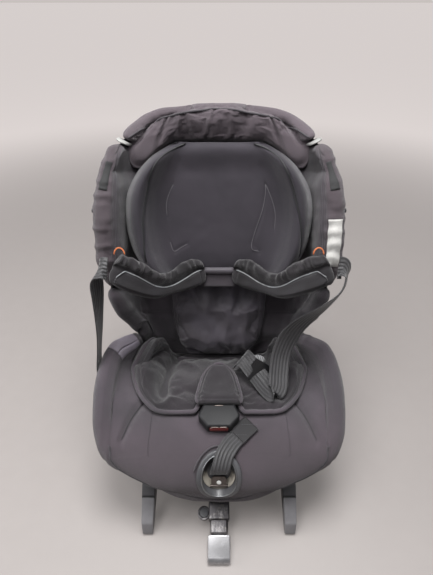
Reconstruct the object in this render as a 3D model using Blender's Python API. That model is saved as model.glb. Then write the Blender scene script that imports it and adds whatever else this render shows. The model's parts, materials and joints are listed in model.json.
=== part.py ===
"""A child car seat on its base, as separate pieces joined by real joints.

Metres, +Z up. The front of the seat faces -Y and +X is on the right of a front view.
The origin is on the floor, under the middle of the seat.
"""

import math

import bmesh
import bpy
from mathutils import Matrix, Vector

# Gaps
FIT_GAP = 0.0003
SOFT_GAP = 0.0008
LAYER_GAP = 0.0013
BACK_LAYER_GAP = 0.001
CUT_OVERRUN = 0.01

# Seat shell: one smooth bucket, drawn through stations from its front lip to the top of its back
SHELL_FRONT_Y = -0.2045
SHELL_LOW_Z = 0.104
SHELL_RUN = 0.465
SHELL_HEIGHT = 0.574
SHELL_HALF_WIDTH = 0.22
SHELL_WALL_HEIGHT = 0.13
SHELL_THICKNESS = 0.004
# Each station: run, rise, half width, wall height, wall lean in degrees, squareness of its section
SHELL_STATION_SHARES = (
    (0.005, 0.000, 0.500, -0.154, 175, 2.2),
    (0.000, 0.063, 0.680, -0.169, 168, 2.2),
    (0.031, 0.111, 0.825, -0.092, 140, 2.2),
    (0.100, 0.146, 0.955, 0.115, 108, 2.3),
    (0.203, 0.157, 1.010, 0.323, 94, 2.6),
    (0.322, 0.143, 1.015, 0.554, 90, 2.8),
    (0.429, 0.124, 0.965, 0.746, 94, 3.0),
    (0.515, 0.111, 0.850, 0.815, 100, 3.0),
    (0.582, 0.136, 0.770, 0.708, 108, 3.0),
    (0.614, 0.193, 0.735, 0.569, 118, 3.0),
    (0.639, 0.275, 0.785, 0.508, 140, 3.0),
    (0.684, 0.366, 0.865, 0.677, 158, 3.2),
    (0.732, 0.463, 0.935, 0.885, 158, 3.4),
    (0.797, 0.593, 0.955, 1.000, 158, 3.4),
    (0.861, 0.722, 0.945, 0.985, 158, 3.4),
    (0.917, 0.835, 0.880, 0.808, 158, 3.2),
    (0.950, 0.899, 0.800, 0.462, 158, 3.0),
    (0.978, 0.956, 0.660, 0.192, 158, 2.6),
    (0.991, 0.983, 0.490, 0.062, 158, 2.4),
    (1.000, 1.000, 0.250, 0.015, 158, 2.2),
)
SHELL_LAST_ROW = len(SHELL_STATION_SHARES) - 1
SHELL_ROWS = (0, 0.5, 1, 1.5, 2, 2.5, 3, 3.5, 4, 5, 6, 7, 7.5, 8, 8.1, 8.5, 9, 9.5, 10, 10.5, 11, 11.9,
              12, 12.5, 13, 13.5, 14, 14.5, 15, 15.7, 16, 16.4, 17, 17.5, 18, 18.5, 19)
TURN_STEPS = 20
RIM_TURN = 90
WRAP_OVER = 180
WRAP_HEM = 240
WRAP_TURNS = (60, 120, 180, 240)
RIM_CLEAR_SHARE = 1.2
NORMAL_TURN = 12
NORMAL_ROW = 0.3

# Backrest plane, which follows the back of the shell: places on it are given as across, up and out
BACK_FOOT_SHARES = (0.515, 0.1585)
BACK_SLOPE_SHARE = 0.4987
BACK_FOOT_Y = SHELL_FRONT_Y + SHELL_RUN * BACK_FOOT_SHARES[0]
BACK_FOOT_Z = SHELL_LOW_Z + SHELL_HEIGHT * BACK_FOOT_SHARES[1]
BACK_TILT = math.atan(BACK_SLOPE_SHARE * SHELL_RUN / SHELL_HEIGHT)

# Padding over the shell
COVER_THICKNESS = 0.025
COVER_WALL_THICKNESS = 0.020
COVER_RIM_THICKNESS = 0.014
COVER_HEM_THICKNESS = 0.005
COVER_END_THICKNESS = 0.009
COVER_SEAM_DEPTH = 0.005
HEM_DEPTH = 0.020
HEM_FLARE = 0.0038
SEAT_COVER_ROWS = (0, 0.5, 1, 1.5, 2, 2.5, 3, 3.5, 4, 5, 6, 7, 7.5, 8)
SEAT_SEAM_TURN = 66
BACK_COVER_ROWS = (8.1, 8.5, 9, 9.5, 10, 10.5, 11, 11.9)
BACK_SEAM_TURN = 45
SEAM_HALF_TURN = 9

INSERT_THICKNESS = 0.018
INSERT_LOBE_RISE = 0.010
INSERT_SEAM_DEPTH = 0.008
INSERT_EDGE_THICKNESS = 0.007
# Each row of the seat insert and how far it turns up the walls, in degrees
INSERT_OUTLINE = ((3.72, 28), (3.9, 37), (4.3, 50), (5, 58), (5.5, 60), (6, 61), (6.5, 61),
                  (7, 59), (7.4, 55), (7.8, 48))
INSERT_NOTCH_ROWS = 1.0
INSERT_NOTCH_TURN = 13
INSERT_SEAM_TURN = 27

BACK_PAD_THICKNESS = 0.020
BACK_PAD_SEAM_DEPTH = 0.004
BACK_PAD_OUTLINE = ((8.7, 20), (9.1, 25), (9.6, 28), (10, 28), (10.5, 27), (11, 26), (11.4, 25), (11.7, 22))

WING_CLEARANCE = 0.005
WING_PAD_LEAST = 0.012
WING_PAD_INNER_THICKNESS = 0.008
WING_PAD_RIM_THICKNESS = 0.017
WING_PAD_HEM_THICKNESS = 0.006
WING_PAD_ROWS = (12, 12.5, 13, 13.5, 14, 14.5, 15, 15.69)
WING_PAD_TURNS = (36, 45, 54, 63, 72, 81, 90)
WING_PAD_SEAM_WRAP = 75
WING_PAD_SEAM_DEPTH = 0.004

TOP_PAD_THICKNESS = 0.046
TOP_PAD_EDGE_THICKNESS = 0.014
TOP_PAD_RIM_THICKNESS = 0.010
TOP_PAD_OVER_EDGE = 0.012
TOP_PAD_ROWS = (16.02, 16.4, 17, 17.5, 18, 18.5, 19)

LINER_THICKNESS = 0.012
LINER_ROWS = (15.72, 15.98)
LINER_TURNS = (72, 81, 90)

REAR_PANEL_THICKNESS = 0.005
REAR_PANEL_ROWS = (10.5, 11, 11.9, 12, 12.5, 13, 13.5, 14, 14.5, 15, 15.7)
REAR_PANEL_TURN = 27

# Headrest, placed on the backrest plane
HEAD_LOW = 0.215
HEAD_HEIGHT = 0.247
HEAD_HALF_WIDTH = 0.170
HEAD_REAR_OUT = 0.034
HEAD_DEPTH = 0.096
HEAD_SHELL_THICKNESS = 0.004
# Height, half width and fullness of each row of the headrest cushion
HEAD_ROW_SHARES = ((0, 0.68, 0.3), (0.03, 0.76, 0.66), (0.1, 0.85, 0.9), (0.22, 0.94, 1), (0.38, 0.99, 1),
                   (0.52, 1, 1), (0.66, 0.97, 1), (0.79, 0.88, 0.95), (0.89, 0.74, 0.84),
                   (0.96, 0.58, 0.6), (1, 0.46, 0.28))
# Half of the headrest's section: across, depth of the front face, depth of the rear face
HEAD_SECTION_SHARES = ((0, 0.375, 0), (0.16, 0.377, 0), (0.32, 0.38, 0), (0.48, 0.385, 0), (0.6, 0.4, 0),
                       (0.69, 0.47, 0.01), (0.77, 0.66, 0.03), (0.83, 0.85, 0.07), (0.89, 0.97, 0.13),
                       (0.95, 0.96, 0.22), (1, 0.8, 0.42))
HEAD_SHELL_SKIP_COUNT = 2

RAIL_ACROSS = 0.05
RAIL_RADIUS = 0.006
RAIL_OUT = -0.012
RAIL_LOW = 0.226
RAIL_HIGH = 0.432
RAIL_BEND = 0.010
RAIL_FOOT_GAP = 0.0008
CARRIAGE_LOW = 0.245
CARRIAGE_HEIGHT = 0.085
CARRIAGE_HALF_WIDTH = 0.066
CARRIAGE_NECK_HALF_WIDTH = 0.034
CARRIAGE_DEPTH = 0.017
HANDLE_GAP = 0.010
HANDLE_HEIGHT = 0.024
HANDLE_HALF_WIDTH = 0.030
HANDLE_DEPTH = 0.014

# Shoulder pads, on the backrest plane
PAD_HALF_HEIGHT = 0.030
PAD_HALF_DEPTH = 0.009
# Centre line of the right-hand pad in shares of the headrest: across, up, out
PAD_ROUTE_SHARES = ((0.159, 0.053, 0.533), (0.329, 0.028, 0.574), (0.518, -0.004, 0.710),
                    (0.676, -0.004, 0.949), (0.841, 0.045, 1.168), (1.006, 0.101, 1.303),
                    (1.129, 0.142, 1.376))
PAD_FULLNESS_SHARES = (0.72, 0.95, 0.9, 1, 1, 0.96, 0.8)
PAD_CORNERS = 12
LOOP_RADIUS = 0.0016
LOOP_SPAN = 0.018
LOOP_RISE = 0.012
LOOP_STEPS = 8

# Harness webbing
WEBBING_HALF_WIDTH = 0.019
WEBBING_THICKNESS = 0.0022
TONGUE_LENGTH = 0.046
TONGUE_HALF_WIDTH = 0.024
TONGUE_THICKNESS = 0.003

# Crotch strap, buckle and crotch pad
CROTCH_ROW_INDEX = 4.3
CROTCH_SLOT_HALF_WIDTH = 0.022
CROTCH_SLOT_HALF_LENGTH = 0.0045
CROTCH_RISE = 0.018
BUCKLE_ROW_INDEX = 3.5
BUCKLE_THICKNESS = 0.024
BUCKLE_EDGE = 0.003
BUCKLE_HALF_LENGTH = 0.0225
BUCKLE_HALF_WIDTH = 0.038
# The buckle's outline from its front corner round to its rear corner: across, along
BUCKLE_OUTLINE_SHARES = ((0.56, -1), (1, -0.1), (1, 0.15), (0.78, 1))
BUTTON_HALF_WIDTH = 0.017
BUTTON_LENGTH = 0.012
BUTTON_THICKNESS = 0.010
BUTTON_EDGE = 0.0015
BUTTON_TRAVEL = 0.004
CROTCH_PAD_HALF_WIDTH = 0.042
CROTCH_PAD_LENGTH = 0.088
CROTCH_PAD_THICKNESS = 0.012
CROTCH_PAD_AHEAD_SHARE = 0.18
CROTCH_PAD_LIFT_SHARE = 0.20
CROTCH_PAD_ROWS = 9
CROTCH_PAD_COLUMNS = 10

# Harness adjuster, sunk in the front of the seat cover and curved like it
ADJUSTER_ROW_INDEX = 1.5
BEZEL_HALF_WIDTH = 0.0405
BEZEL_HALF_LENGTH = 0.050
BEZEL_RIM = 0.010
BEZEL_FLOOR = 0.003
BEZEL_PROUD = 0.003
BEZEL_EDGE = 0.0025
BEZEL_SIDES = 36
BEZEL_CENTRE_SHARE = 0.85
LEVER_ROW_INDEX = 1.1
LEVER_HALF_WIDTH = 0.014
LEVER_LENGTH = 0.024
LEVER_THICKNESS = 0.003
LEVER_RISE = 0.013
LEVER_PIN_RADIUS = 0.0028
RIVET_RADIUS = 0.004
RIVET_HEIGHT = 0.002
RIVET_PLACE_SHARE = 0.5
ADJUSTER_STRAP_HALF_WIDTH = 0.0135
# The loose end of the adjuster strap: row, turn, and height over the cover as a share of its thickness
ADJUSTER_STRAP_ROUTE_SHARES = ((1.55, 0, -0.52), (1.68, 0, -0.16), (1.95, 1, 0.18), (2.4, 3, 0.27),
                               (2.72, 6, 0.2), (2.95, 9, 0.11), (3.15, 12, 0.075), (3.4, 16, 0.065))

# Recline: the seat rides on an arc about a point in front of the backrest
RECLINE_Y = -0.02
RECLINE_RANGE = 8
SLOT_RADIUS = 0.455
SLOT_LOW_Z = 0.145
RECLINE_Z = SLOT_LOW_Z + SLOT_RADIUS
SHAFT_RADIUS = 0.0047
SHAFT_FRONT_Y = -0.0636
SHAFT_REAR_Y = 0.1206
SHAFT_FRONT_ANGLE = math.degrees(math.asin((RECLINE_Y - SHAFT_FRONT_Y) / SLOT_RADIUS))
SHAFT_REAR_ANGLE = math.degrees(math.asin((RECLINE_Y - SHAFT_REAR_Y) / SLOT_RADIUS))
CRADLE_ACROSS = 0.070
CRADLE_THICKNESS = 0.005
CRADLE_BELOW_SLOT = 0.013
CRADLE_FRONT_ROW_INDEX = 4
CRADLE_REAR_ROW_INDEX = 8
RAIL_PLATE_ACROSS = 0.085
RAIL_PLATE_THICKNESS = 0.006
RAIL_PLATE_ABOVE_SLOT = 0.014
RAIL_PLATE_BELOW_SLOT = 0.0195
RAIL_PLATE_END = 4
CLIP_RADIUS = 0.009
CLIP_THICKNESS = 0.003
ARC_STEP = 2.0

# Anchor arms, their rails and the two front feet
ARM_ACROSS = 0.140
ARM_RAIL_WIDTH = 0.032
ARM_RAIL_HEIGHT = 0.034
ARM_RAIL_WALL = 0.003
ARM_RAIL_CENTRE_Z = 0.060
ARM_RAIL_FRONT_Y = -0.150
ARM_RAIL_REAR_Y = 0.215
ARM_FRONT_Y = -0.060
CONNECTOR_LENGTH = 0.075
CONNECTOR_WIDTH = 0.034
CONNECTOR_HEIGHT = 0.040
CONNECTOR_JAW_LENGTH = 0.028
CONNECTOR_JAW_HEIGHT = 0.012
CONNECTOR_REAR_Y = 0.300
CONNECTOR_EDGE = 0.003
HOOK_THICKNESS = 0.008
HOOK_LENGTH = 0.034
HOOK_HEIGHT = 0.007
HOOK_POCKET_LENGTH = 0.050
RELEASE_LENGTH = 0.024
RELEASE_WIDTH = 0.018
RELEASE_HEIGHT = 0.008
RELEASE_TRAVEL = 0.008

FOOT_WIDTH_TOP = 0.027
FOOT_WIDTH_TIP = 0.020
FOOT_TIP_Y = -0.246
FOOT_TIP_LENGTH = 0.020

# Base housing
HOUSING_FRONT_Y = -0.150
HOUSING_REAR_Y = 0.222
HOUSING_HALF_WIDTH = ARM_ACROSS - ARM_RAIL_WIDTH / 2 - FIT_GAP
HOUSING_BOTTOM_Z = 0.014
HOUSING_EDGE = 0.006
CHANNEL_HALF_WIDTH = 0.044
CHANNEL_ROOF_Z = 0.102
REAR_PAD_LENGTH = 0.050
REAR_PAD_WIDTH = 0.060

# Support leg
LEG_PIVOT_Y = -0.040
LEG_PIVOT_Z = 0.078
LEG_SLOPE = 14.3
LEG_PIN_RADIUS = 0.006
LEG_SLEEVE_HALF_WIDTH = 0.0205
LEG_SLEEVE_HEIGHT = 0.026
LEG_SLEEVE_WALL = 0.0025
LEG_SLEEVE_LENGTH = 0.198
LEG_SLEEVE_BEHIND = 0.016
LEG_TUBE_HALF_WIDTH = 0.0175
LEG_TUBE_HEIGHT = 0.018
LEG_TUBE_START = 0.050
LEG_LUG_RADIUS = 0.0125
LEG_LUG_THICKNESS = 0.010
LEG_LUG_ACROSS = 0.0295
LEG_LUG_PLACE = 0.184
LEG_BUTTON_RADIUS = 0.009
LEG_BUTTON_HEIGHT = 0.006
LEG_BUTTON_SUNK = 0.004
LEG_BUTTON_TRAVEL = 0.003
LEG_FOOT_HALF_WIDTH = 0.0215
LEG_FOOT_FRONT_Y = -0.300
LEG_FOOT_LENGTH = 0.044
LEG_FOOT_HEIGHT = 0.031

# Recline button on the front of the base
RECLINE_BUTTON_RADIUS = 0.014
RECLINE_BUTTON_ACROSS = -0.070
RECLINE_BUTTON_Z = 0.062
RECLINE_BUTTON_LENGTH = 0.022
RECLINE_BUTTON_SUNK = 0.012
RECLINE_BUTTON_TRAVEL = 0.007

# Finishes: colour, roughness, metallic
FABRIC = ((0.030, 0.030, 0.034), 0.95, 0.0)
JERSEY = ((0.036, 0.038, 0.046), 0.9, 0.0)
WEBBING = ((0.055, 0.056, 0.060), 0.7, 0.0)
BLACK_PLASTIC = ((0.020, 0.020, 0.022), 0.5, 0.0)
GREY_PLASTIC = ((0.075, 0.075, 0.080), 0.55, 0.0)
PALE_PLASTIC = ((0.62, 0.63, 0.60), 0.6, 0.0)
STEEL = ((0.56, 0.56, 0.57), 0.35, 1.0)
DARK_STEEL = ((0.15, 0.15, 0.16), 0.45, 1.0)
PLATE_METAL = ((0.30, 0.27, 0.25), 0.45, 1.0)
RED_PLASTIC = ((0.55, 0.05, 0.03), 0.45, 0.0)
ORANGE_CORD = ((0.62, 0.19, 0.05), 0.8, 0.0)
RUBBER = ((0.018, 0.018, 0.018), 0.85, 0.0)

SHARP_ANGLE = math.radians(38)
ROUND_SIDES = 24
SMALL_ROUND_SIDES = 16
HALVING_STEPS = 24


class Body:
    """One moving body: an empty on its joint's axis that carries the body's pieces."""

    def __init__(self, name, place, parent=None):
        self.place = Vector(place)
        self.empty = bpy.data.objects.new(name, None)
        bpy.context.scene.collection.objects.link(self.empty)
        if parent is None:
            self.empty.location = self.place
        else:
            self.empty.parent = parent.empty
            self.empty.location = self.place - parent.place


# Small tools
def remove_everything():
    for old in list(bpy.data.objects):
        bpy.data.objects.remove(old, do_unlink=True)


def paint(name, finish):
    colour, roughness, metallic = finish
    material = bpy.data.materials.new(name)
    material.use_nodes = True
    shader = material.node_tree.nodes["Principled BSDF"]
    shader.inputs["Base Color"].default_value = (*colour, 1)
    shader.inputs["Roughness"].default_value = roughness
    shader.inputs["Metallic"].default_value = metallic
    return material


def add_piece(name, body, finish, make, *sizes):
    """A named object on a body, whose mesh a function draws in world places."""
    drawing = bmesh.new()
    make(drawing, *sizes)
    bmesh.ops.recalc_face_normals(drawing, faces=drawing.faces)
    bmesh.ops.translate(drawing, verts=drawing.verts, vec=-body.place)
    mesh = bpy.data.meshes.new(name)
    drawing.to_mesh(mesh)
    drawing.free()
    mesh.shade_smooth()
    mesh.set_sharp_from_angle(angle=SHARP_ANGLE)
    piece = bpy.data.objects.new(name, mesh)
    bpy.context.scene.collection.objects.link(piece)
    piece.parent = body.empty
    mesh.materials.append(paint(name, finish))
    return piece


def shape(piece, operation, body, name, make, *sizes):
    """Add a drawn shape to a piece, or take it out."""
    guide = add_piece(name, body, RUBBER, make, *sizes)
    guide.hide_render = True
    guide.display_type = "WIRE"
    boolean = piece.modifiers.new(name, "BOOLEAN")
    boolean.operation = operation
    boolean.solver = "EXACT"
    boolean.object = guide


def cut(piece, body, name, make, *sizes):
    shape(piece, "DIFFERENCE", body, name, make, *sizes)


def join(piece, body, name, make, *sizes):
    shape(piece, "UNION", body, name, make, *sizes)


def smooth_value(values, at):
    """A value at a fractional place in a list, on a smooth curve through the list."""
    last = len(values) - 1
    cell = min(int(at), last - 1)
    part = at - cell
    one = values[cell]
    two = values[cell + 1]
    before = values[cell - 1] if cell > 0 else 2 * one - two
    after = values[cell + 2] if cell + 2 <= last else 2 * two - one
    start = (two - before) / 2
    finish = (after - one) / 2
    curve = 2 * one - 2 * two + start + finish
    bend = 3 * two - 3 * one - 2 * start - finish
    return ((curve * part + bend) * part + start) * part + one


def ramp(value, low, high):
    """0 up to low, 1 from high on, and an easy slope between."""
    part = min(max((value - low) / (high - low), 0), 1)
    return part * part * (3 - 2 * part)


def dip(value, centre, half):
    """1 at the centre of a channel, falling to 0 at its sides."""
    return 1 - ramp(abs(value - centre), 0, half)


def mix(one, two, share):
    return one + (two - one) * share


def add_triangles(drawing, one, two, three, four):
    drawing.faces.new((one, two, three))
    drawing.faces.new((one, three, four))


def add_blanket(drawing, top, bottom):
    """A closed body between two grids of points, joined all round."""
    upper = [[drawing.verts.new(point) for point in row] for row in top]
    lower = [[drawing.verts.new(point) for point in row] for row in bottom]
    rows = range(len(upper) - 1)
    columns = range(len(upper[0]) - 1)
    for layer in (upper, lower):
        for row in rows:
            for column in columns:
                add_triangles(drawing, layer[row][column], layer[row][column + 1],
                              layer[row + 1][column + 1], layer[row + 1][column])
    for row in rows:
        for column in (0, -1):
            add_triangles(drawing, upper[row][column], upper[row + 1][column],
                          lower[row + 1][column], lower[row][column])
    for column in columns:
        for row in (0, -1):
            add_triangles(drawing, upper[row][column], upper[row][column + 1],
                          lower[row][column + 1], lower[row][column])


def add_loft(drawing, rings):
    """A closed body through rings of points, with flat ends."""
    drawn = [[drawing.verts.new(point) for point in ring] for ring in rings]
    count = len(drawn[0])
    for near, far in zip(drawn, drawn[1:]):
        for index in range(count):
            after = (index + 1) % count
            drawing.faces.new((near[index], near[after], far[after], far[index]))
    drawing.faces.new(drawn[0])
    drawing.faces.new(drawn[-1])


def add_prism(drawing, outline, left, right):
    """A side-view outline of (y, z) points, carried across from left to right."""
    add_loft(drawing, [[Vector((x, y, z)) for y, z in outline] for x in (left, right)])


def add_box(drawing, low, high, edge=0):
    size = Vector(high) - Vector(low)
    middle = (Vector(high) + Vector(low)) / 2
    place = Matrix.Translation(middle) @ Matrix.Diagonal((*size, 1))
    box = bmesh.ops.create_cube(drawing, size=1, matrix=place)
    if edge > 0:
        round_edges(drawing, box["verts"], edge)


def round_edges(drawing, verts, edge):
    edges = list({line for vert in verts for line in vert.link_edges})
    bmesh.ops.bevel(drawing, geom=edges, offset=edge, segments=1, profile=0.5, affect="EDGES", material=-1)


def add_rod(drawing, start, end, radius, sides=SMALL_ROUND_SIDES):
    """A round rod between two places."""
    run = Vector(end) - Vector(start)
    turn = Vector((0, 0, 1)).rotation_difference(run).to_matrix().to_4x4()
    place = Matrix.Translation((Vector(start) + Vector(end)) / 2) @ turn
    bmesh.ops.create_cone(drawing, cap_ends=True, segments=sides, radius1=radius, radius2=radius,
                          depth=run.length, matrix=place)


def frame_matrix(place, across, along, out):
    """A matrix from a piece's own axes to world places."""
    matrix = Matrix((across, along, out)).transposed().to_4x4()
    matrix.translation = place
    return matrix


# The shell's surface
def station(row):
    return [smooth_value(column, row) for column in zip(*SHELL_STATION_SHARES)]


def shell_point(row, turn):
    """A place on the inside of the shell; turn is 0 on its middle line and 90 on its rim."""
    run, rise, wide, wall, lean, square = station(row)
    side = math.sin(math.radians(turn))
    middle = math.cos(math.radians(turn))
    reach = (abs(side) ** square + abs(middle) ** square) ** (-1 / square)
    height = SHELL_WALL_HEIGHT * wall * (1 - reach * middle)
    lean = math.radians(lean)
    return Vector((SHELL_HALF_WIDTH * wide * reach * side,
                   SHELL_FRONT_Y + SHELL_RUN * run + height * math.cos(lean),
                   SHELL_LOW_Z + SHELL_HEIGHT * rise + height * math.sin(lean)))


def shell_axes(row, turn):
    """Directions at a place on the shell: across it, along it, and out of it towards the child."""
    across = (shell_point(row, min(turn + NORMAL_TURN, RIM_TURN))
              - shell_point(row, max(turn - NORMAL_TURN, -RIM_TURN)))
    along = (shell_point(min(row + NORMAL_ROW, SHELL_LAST_ROW), turn)
             - shell_point(max(row - NORMAL_ROW, 0), turn))
    out = across.cross(along).normalized()
    across.normalize()
    return across, out.cross(across), out


def over_shell(row, turn, lift):
    """A place at a height over the shell; past 90 the turn goes over the rim and down outside."""
    if abs(turn) <= RIM_TURN:
        return shell_point(row, turn) + shell_axes(row, turn)[2] * lift
    side = math.copysign(1, turn)
    past = abs(turn) - RIM_TURN
    across, along, out = shell_axes(row, RIM_TURN * side)
    up = across * side
    angle = math.radians(min(past, WRAP_OVER))
    middle = shell_point(row, RIM_TURN * side) - out * (SHELL_THICKNESS / 2)
    radius = SHELL_THICKNESS / 2 + lift
    place = middle + out * math.cos(angle) * radius + up * math.sin(angle) * radius * RIM_CLEAR_SHARE
    hem = max(past - WRAP_OVER, 0) / (WRAP_HEM - WRAP_OVER) * ramp(row, 2.9, 4.2)
    return place - up * HEM_DEPTH * hem - out * HEM_FLARE * hem


def even_turns(limit, steps):
    return [mix(-limit, limit, index / steps) for index in range(steps + 1)]


def wrapped_turns():
    past = [RIM_TURN + wrap for wrap in WRAP_TURNS]
    return [-turn for turn in reversed(past)] + even_turns(RIM_TURN, TURN_STEPS) + past


def add_padding(drawing, rows, turns, floor, thickness):
    """Padding whose underside is at the floor height and whose thickness a function gives."""
    bottom = [[over_shell(row, turn, floor(row, turn)) for turn in turns] for row in rows]
    top = [[over_shell(row, turn, floor(row, turn) + thickness(row, turn)) for turn in turns] for row in rows]
    add_blanket(drawing, top, bottom)


def on_shell(row, turn):
    return SOFT_GAP


# Seat shell and what covers it
def draw_seat_shell(drawing):
    turns = even_turns(RIM_TURN, TURN_STEPS)
    inside = [[over_shell(row, turn, 0) for turn in turns] for row in SHELL_ROWS]
    outside = [[over_shell(row, turn, -SHELL_THICKNESS) for turn in turns] for row in SHELL_ROWS]
    add_blanket(drawing, inside, outside)


def rim_thickness(turn, wall, rim, hem):
    """Thickness round the rim, from the wall inside to the hem outside."""
    past = abs(turn) - RIM_TURN
    return mix(mix(wall, rim, ramp(past, -15, WRAP_OVER)), hem, ramp(past, WRAP_OVER / 2, WRAP_HEM))


def cover_thickness(row, turn):
    """Seat and back cover: crowned, thinner at its ends, with a sewn channel along each bolster."""
    middle = mix(COVER_THICKNESS, COVER_WALL_THICKNESS, ramp(abs(turn), 30, 75))
    body = rim_thickness(turn, middle, COVER_RIM_THICKNESS, COVER_HEM_THICKNESS)
    seam_turn = SEAT_SEAM_TURN if row <= SEAT_COVER_ROWS[-1] else BACK_SEAM_TURN
    body -= COVER_SEAM_DEPTH * dip(abs(turn), seam_turn, SEAM_HALF_TURN) * ramp(row, 1, 3)
    front = ramp(row, -0.6, 1.2)
    crease = ramp(abs(row - (SEAT_COVER_ROWS[-1] + BACK_COVER_ROWS[0]) / 2), -0.2, 2.0)
    top = ramp(BACK_COVER_ROWS[-1] - row, -0.4, 0.8)
    full = front * crease * top
    return mix(min(COVER_END_THICKNESS, body), body, full)


def insert_seat(row, turn):
    return SOFT_GAP + cover_thickness(row, turn) + LAYER_GAP


def back_pad_seat(row, turn):
    return SOFT_GAP + cover_thickness(row, turn) + BACK_LAYER_GAP


def outline_padding(drawing, outline, steps, floor, thickness, notch=0):
    """Padding whose rows each have their own width, with a notch in the middle of its first rows."""
    bottom = []
    top = []
    for index, (row, limit) in enumerate(outline):
        ends = min(index, len(outline) - 1 - index)
        turns = even_turns(limit, steps)
        far = notch * (1 - index / (len(outline) - 1)) ** 3
        places = [(row + far * (1 - ramp(abs(turn), INSERT_NOTCH_TURN / 3, INSERT_NOTCH_TURN)), turn)
                  for turn in turns]
        bottom.append([over_shell(at, turn, floor(at, turn)) for at, turn in places])
        top.append([over_shell(at, turn, floor(at, turn) + thickness(row, turn / limit, turn, ends))
                    for at, turn in places])
    add_blanket(drawing, top, bottom)


def insert_thickness(row, share, turn, ends):
    lobe = ramp(abs(turn), INSERT_SEAM_TURN, INSERT_SEAM_TURN + 12) * ramp(row, 4, 5)
    body = INSERT_THICKNESS + INSERT_LOBE_RISE * lobe
    body -= INSERT_SEAM_DEPTH * dip(abs(turn), INSERT_SEAM_TURN, SEAM_HALF_TURN)
    full = ramp(1 - abs(share), -0.08, 0.25) * (0.35, 0.85, 1)[min(ends, 2)]
    return mix(INSERT_EDGE_THICKNESS, body, full)


def back_pad_thickness(row, share, turn, ends):
    body = BACK_PAD_THICKNESS - BACK_PAD_SEAM_DEPTH * dip(row, 10.2, 0.6)
    full = ramp(1 - abs(share), -0.08, 0.35) * (0.3, 0.8, 1)[min(ends, 2)]
    return mix(INSERT_EDGE_THICKNESS, body, full)


def wing_pad_thickness(row, turn):
    """The wing's inner face fills the space beside the headrest; its front edge is a fat roll."""
    room = station(row)[2] * SHELL_HALF_WIDTH - HEAD_HALF_WIDTH - WING_CLEARANCE - SOFT_GAP
    wall = max(room * ramp(15.2 - row, 0, 0.9), WING_PAD_LEAST)
    wall = mix(WING_PAD_INNER_THICKNESS, wall, ramp(abs(turn), WING_PAD_TURNS[0], 66))
    body = rim_thickness(turn, wall, WING_PAD_RIM_THICKNESS, WING_PAD_HEM_THICKNESS)
    body -= WING_PAD_SEAM_DEPTH * dip(abs(turn) - RIM_TURN, WING_PAD_SEAM_WRAP, 40)
    low = ramp(row, WING_PAD_ROWS[0] - 0.7, WING_PAD_ROWS[0] + 0.9)
    high = ramp(WING_PAD_ROWS[-1] - row, -0.6, 0.6)
    return mix(WING_PAD_HEM_THICKNESS, body, low * high)


def draw_wing_pad(drawing, side):
    turns = sorted(side * turn for turn in (*WING_PAD_TURNS, *[RIM_TURN + wrap for wrap in WRAP_TURNS]))
    add_padding(drawing, WING_PAD_ROWS, turns, on_shell, wing_pad_thickness)


def top_pad_thickness(row, turn):
    """Fullest in its middle, thin at its lower edge and where it goes over the rim."""
    across = 1 - ramp(abs(turn), 30, 100)
    low = ramp(row, TOP_PAD_ROWS[0] - 0.5, TOP_PAD_ROWS[0] + 1.2)
    high = ramp(SHELL_LAST_ROW + 0.9 - row, 0, 1.9)
    body = mix(TOP_PAD_EDGE_THICKNESS, TOP_PAD_THICKNESS, across * low * high)
    return mix(body, TOP_PAD_RIM_THICKNESS, ramp(abs(turn), RIM_TURN - 20, RIM_TURN + WRAP_OVER))


def draw_top_pad(drawing):
    """The padded flap behind the headrest, which reaches a little over the shell's upper edge."""
    turns = wrapped_turns()
    bottom = [[over_shell(row, turn, SOFT_GAP) for turn in turns] for row in TOP_PAD_ROWS]
    top = [[over_shell(row, turn, SOFT_GAP + top_pad_thickness(row, turn)) for turn in turns]
           for row in TOP_PAD_ROWS]
    rise = shell_axes(SHELL_LAST_ROW, 0)[1] * TOP_PAD_OVER_EDGE
    for grid, reach in ((bottom, 1), (top, 0.7)):
        less = [1 - 0.8 * ramp(abs(turn), RIM_TURN / 2, RIM_TURN + WRAP_OVER / 2) for turn in turns]
        grid.append([point + rise * reach * part for point, part in zip(grid[-1], less)])
    add_blanket(drawing, top, bottom)


def draw_side_liner(drawing, side):
    turns = sorted(side * turn for turn in (*LINER_TURNS, *[RIM_TURN + wrap for wrap in WRAP_TURNS]))
    add_padding(drawing, LINER_ROWS, turns, on_shell, lambda row, turn: LINER_THICKNESS)


def draw_rear_panel(drawing):
    turns = [turn for turn in even_turns(RIM_TURN, TURN_STEPS) if abs(turn) <= REAR_PANEL_TURN]
    near = -SHELL_THICKNESS - SOFT_GAP
    far = near - REAR_PANEL_THICKNESS
    inside = [[over_shell(row, turn, near) for turn in turns] for row in REAR_PANEL_ROWS]
    outside = [[over_shell(row, turn, far) for turn in turns] for row in REAR_PANEL_ROWS]
    add_blanket(drawing, inside, outside)


# Backrest plane
def on_back(across, up, out):
    return Vector((across,
                   BACK_FOOT_Y + up * math.sin(BACK_TILT) - out * math.cos(BACK_TILT),
                   BACK_FOOT_Z + up * math.cos(BACK_TILT) + out * math.sin(BACK_TILT)))


def back_matrix():
    """From across, up and out on the backrest to world places."""
    origin = on_back(0, 0, 0)
    return frame_matrix(origin, Vector((1, 0, 0)), (on_back(0, 1, 0) - origin), (on_back(0, 0, 1) - origin))


def add_back_box(drawing, low, high, edge=0):
    """A box whose corners are given as across, up and out."""
    start = len(drawing.verts)
    add_box(drawing, low, high, edge)
    drawing.verts.ensure_lookup_table()
    drawing.verts.index_update()
    bmesh.ops.transform(drawing, matrix=back_matrix(), verts=drawing.verts[start:])


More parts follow.
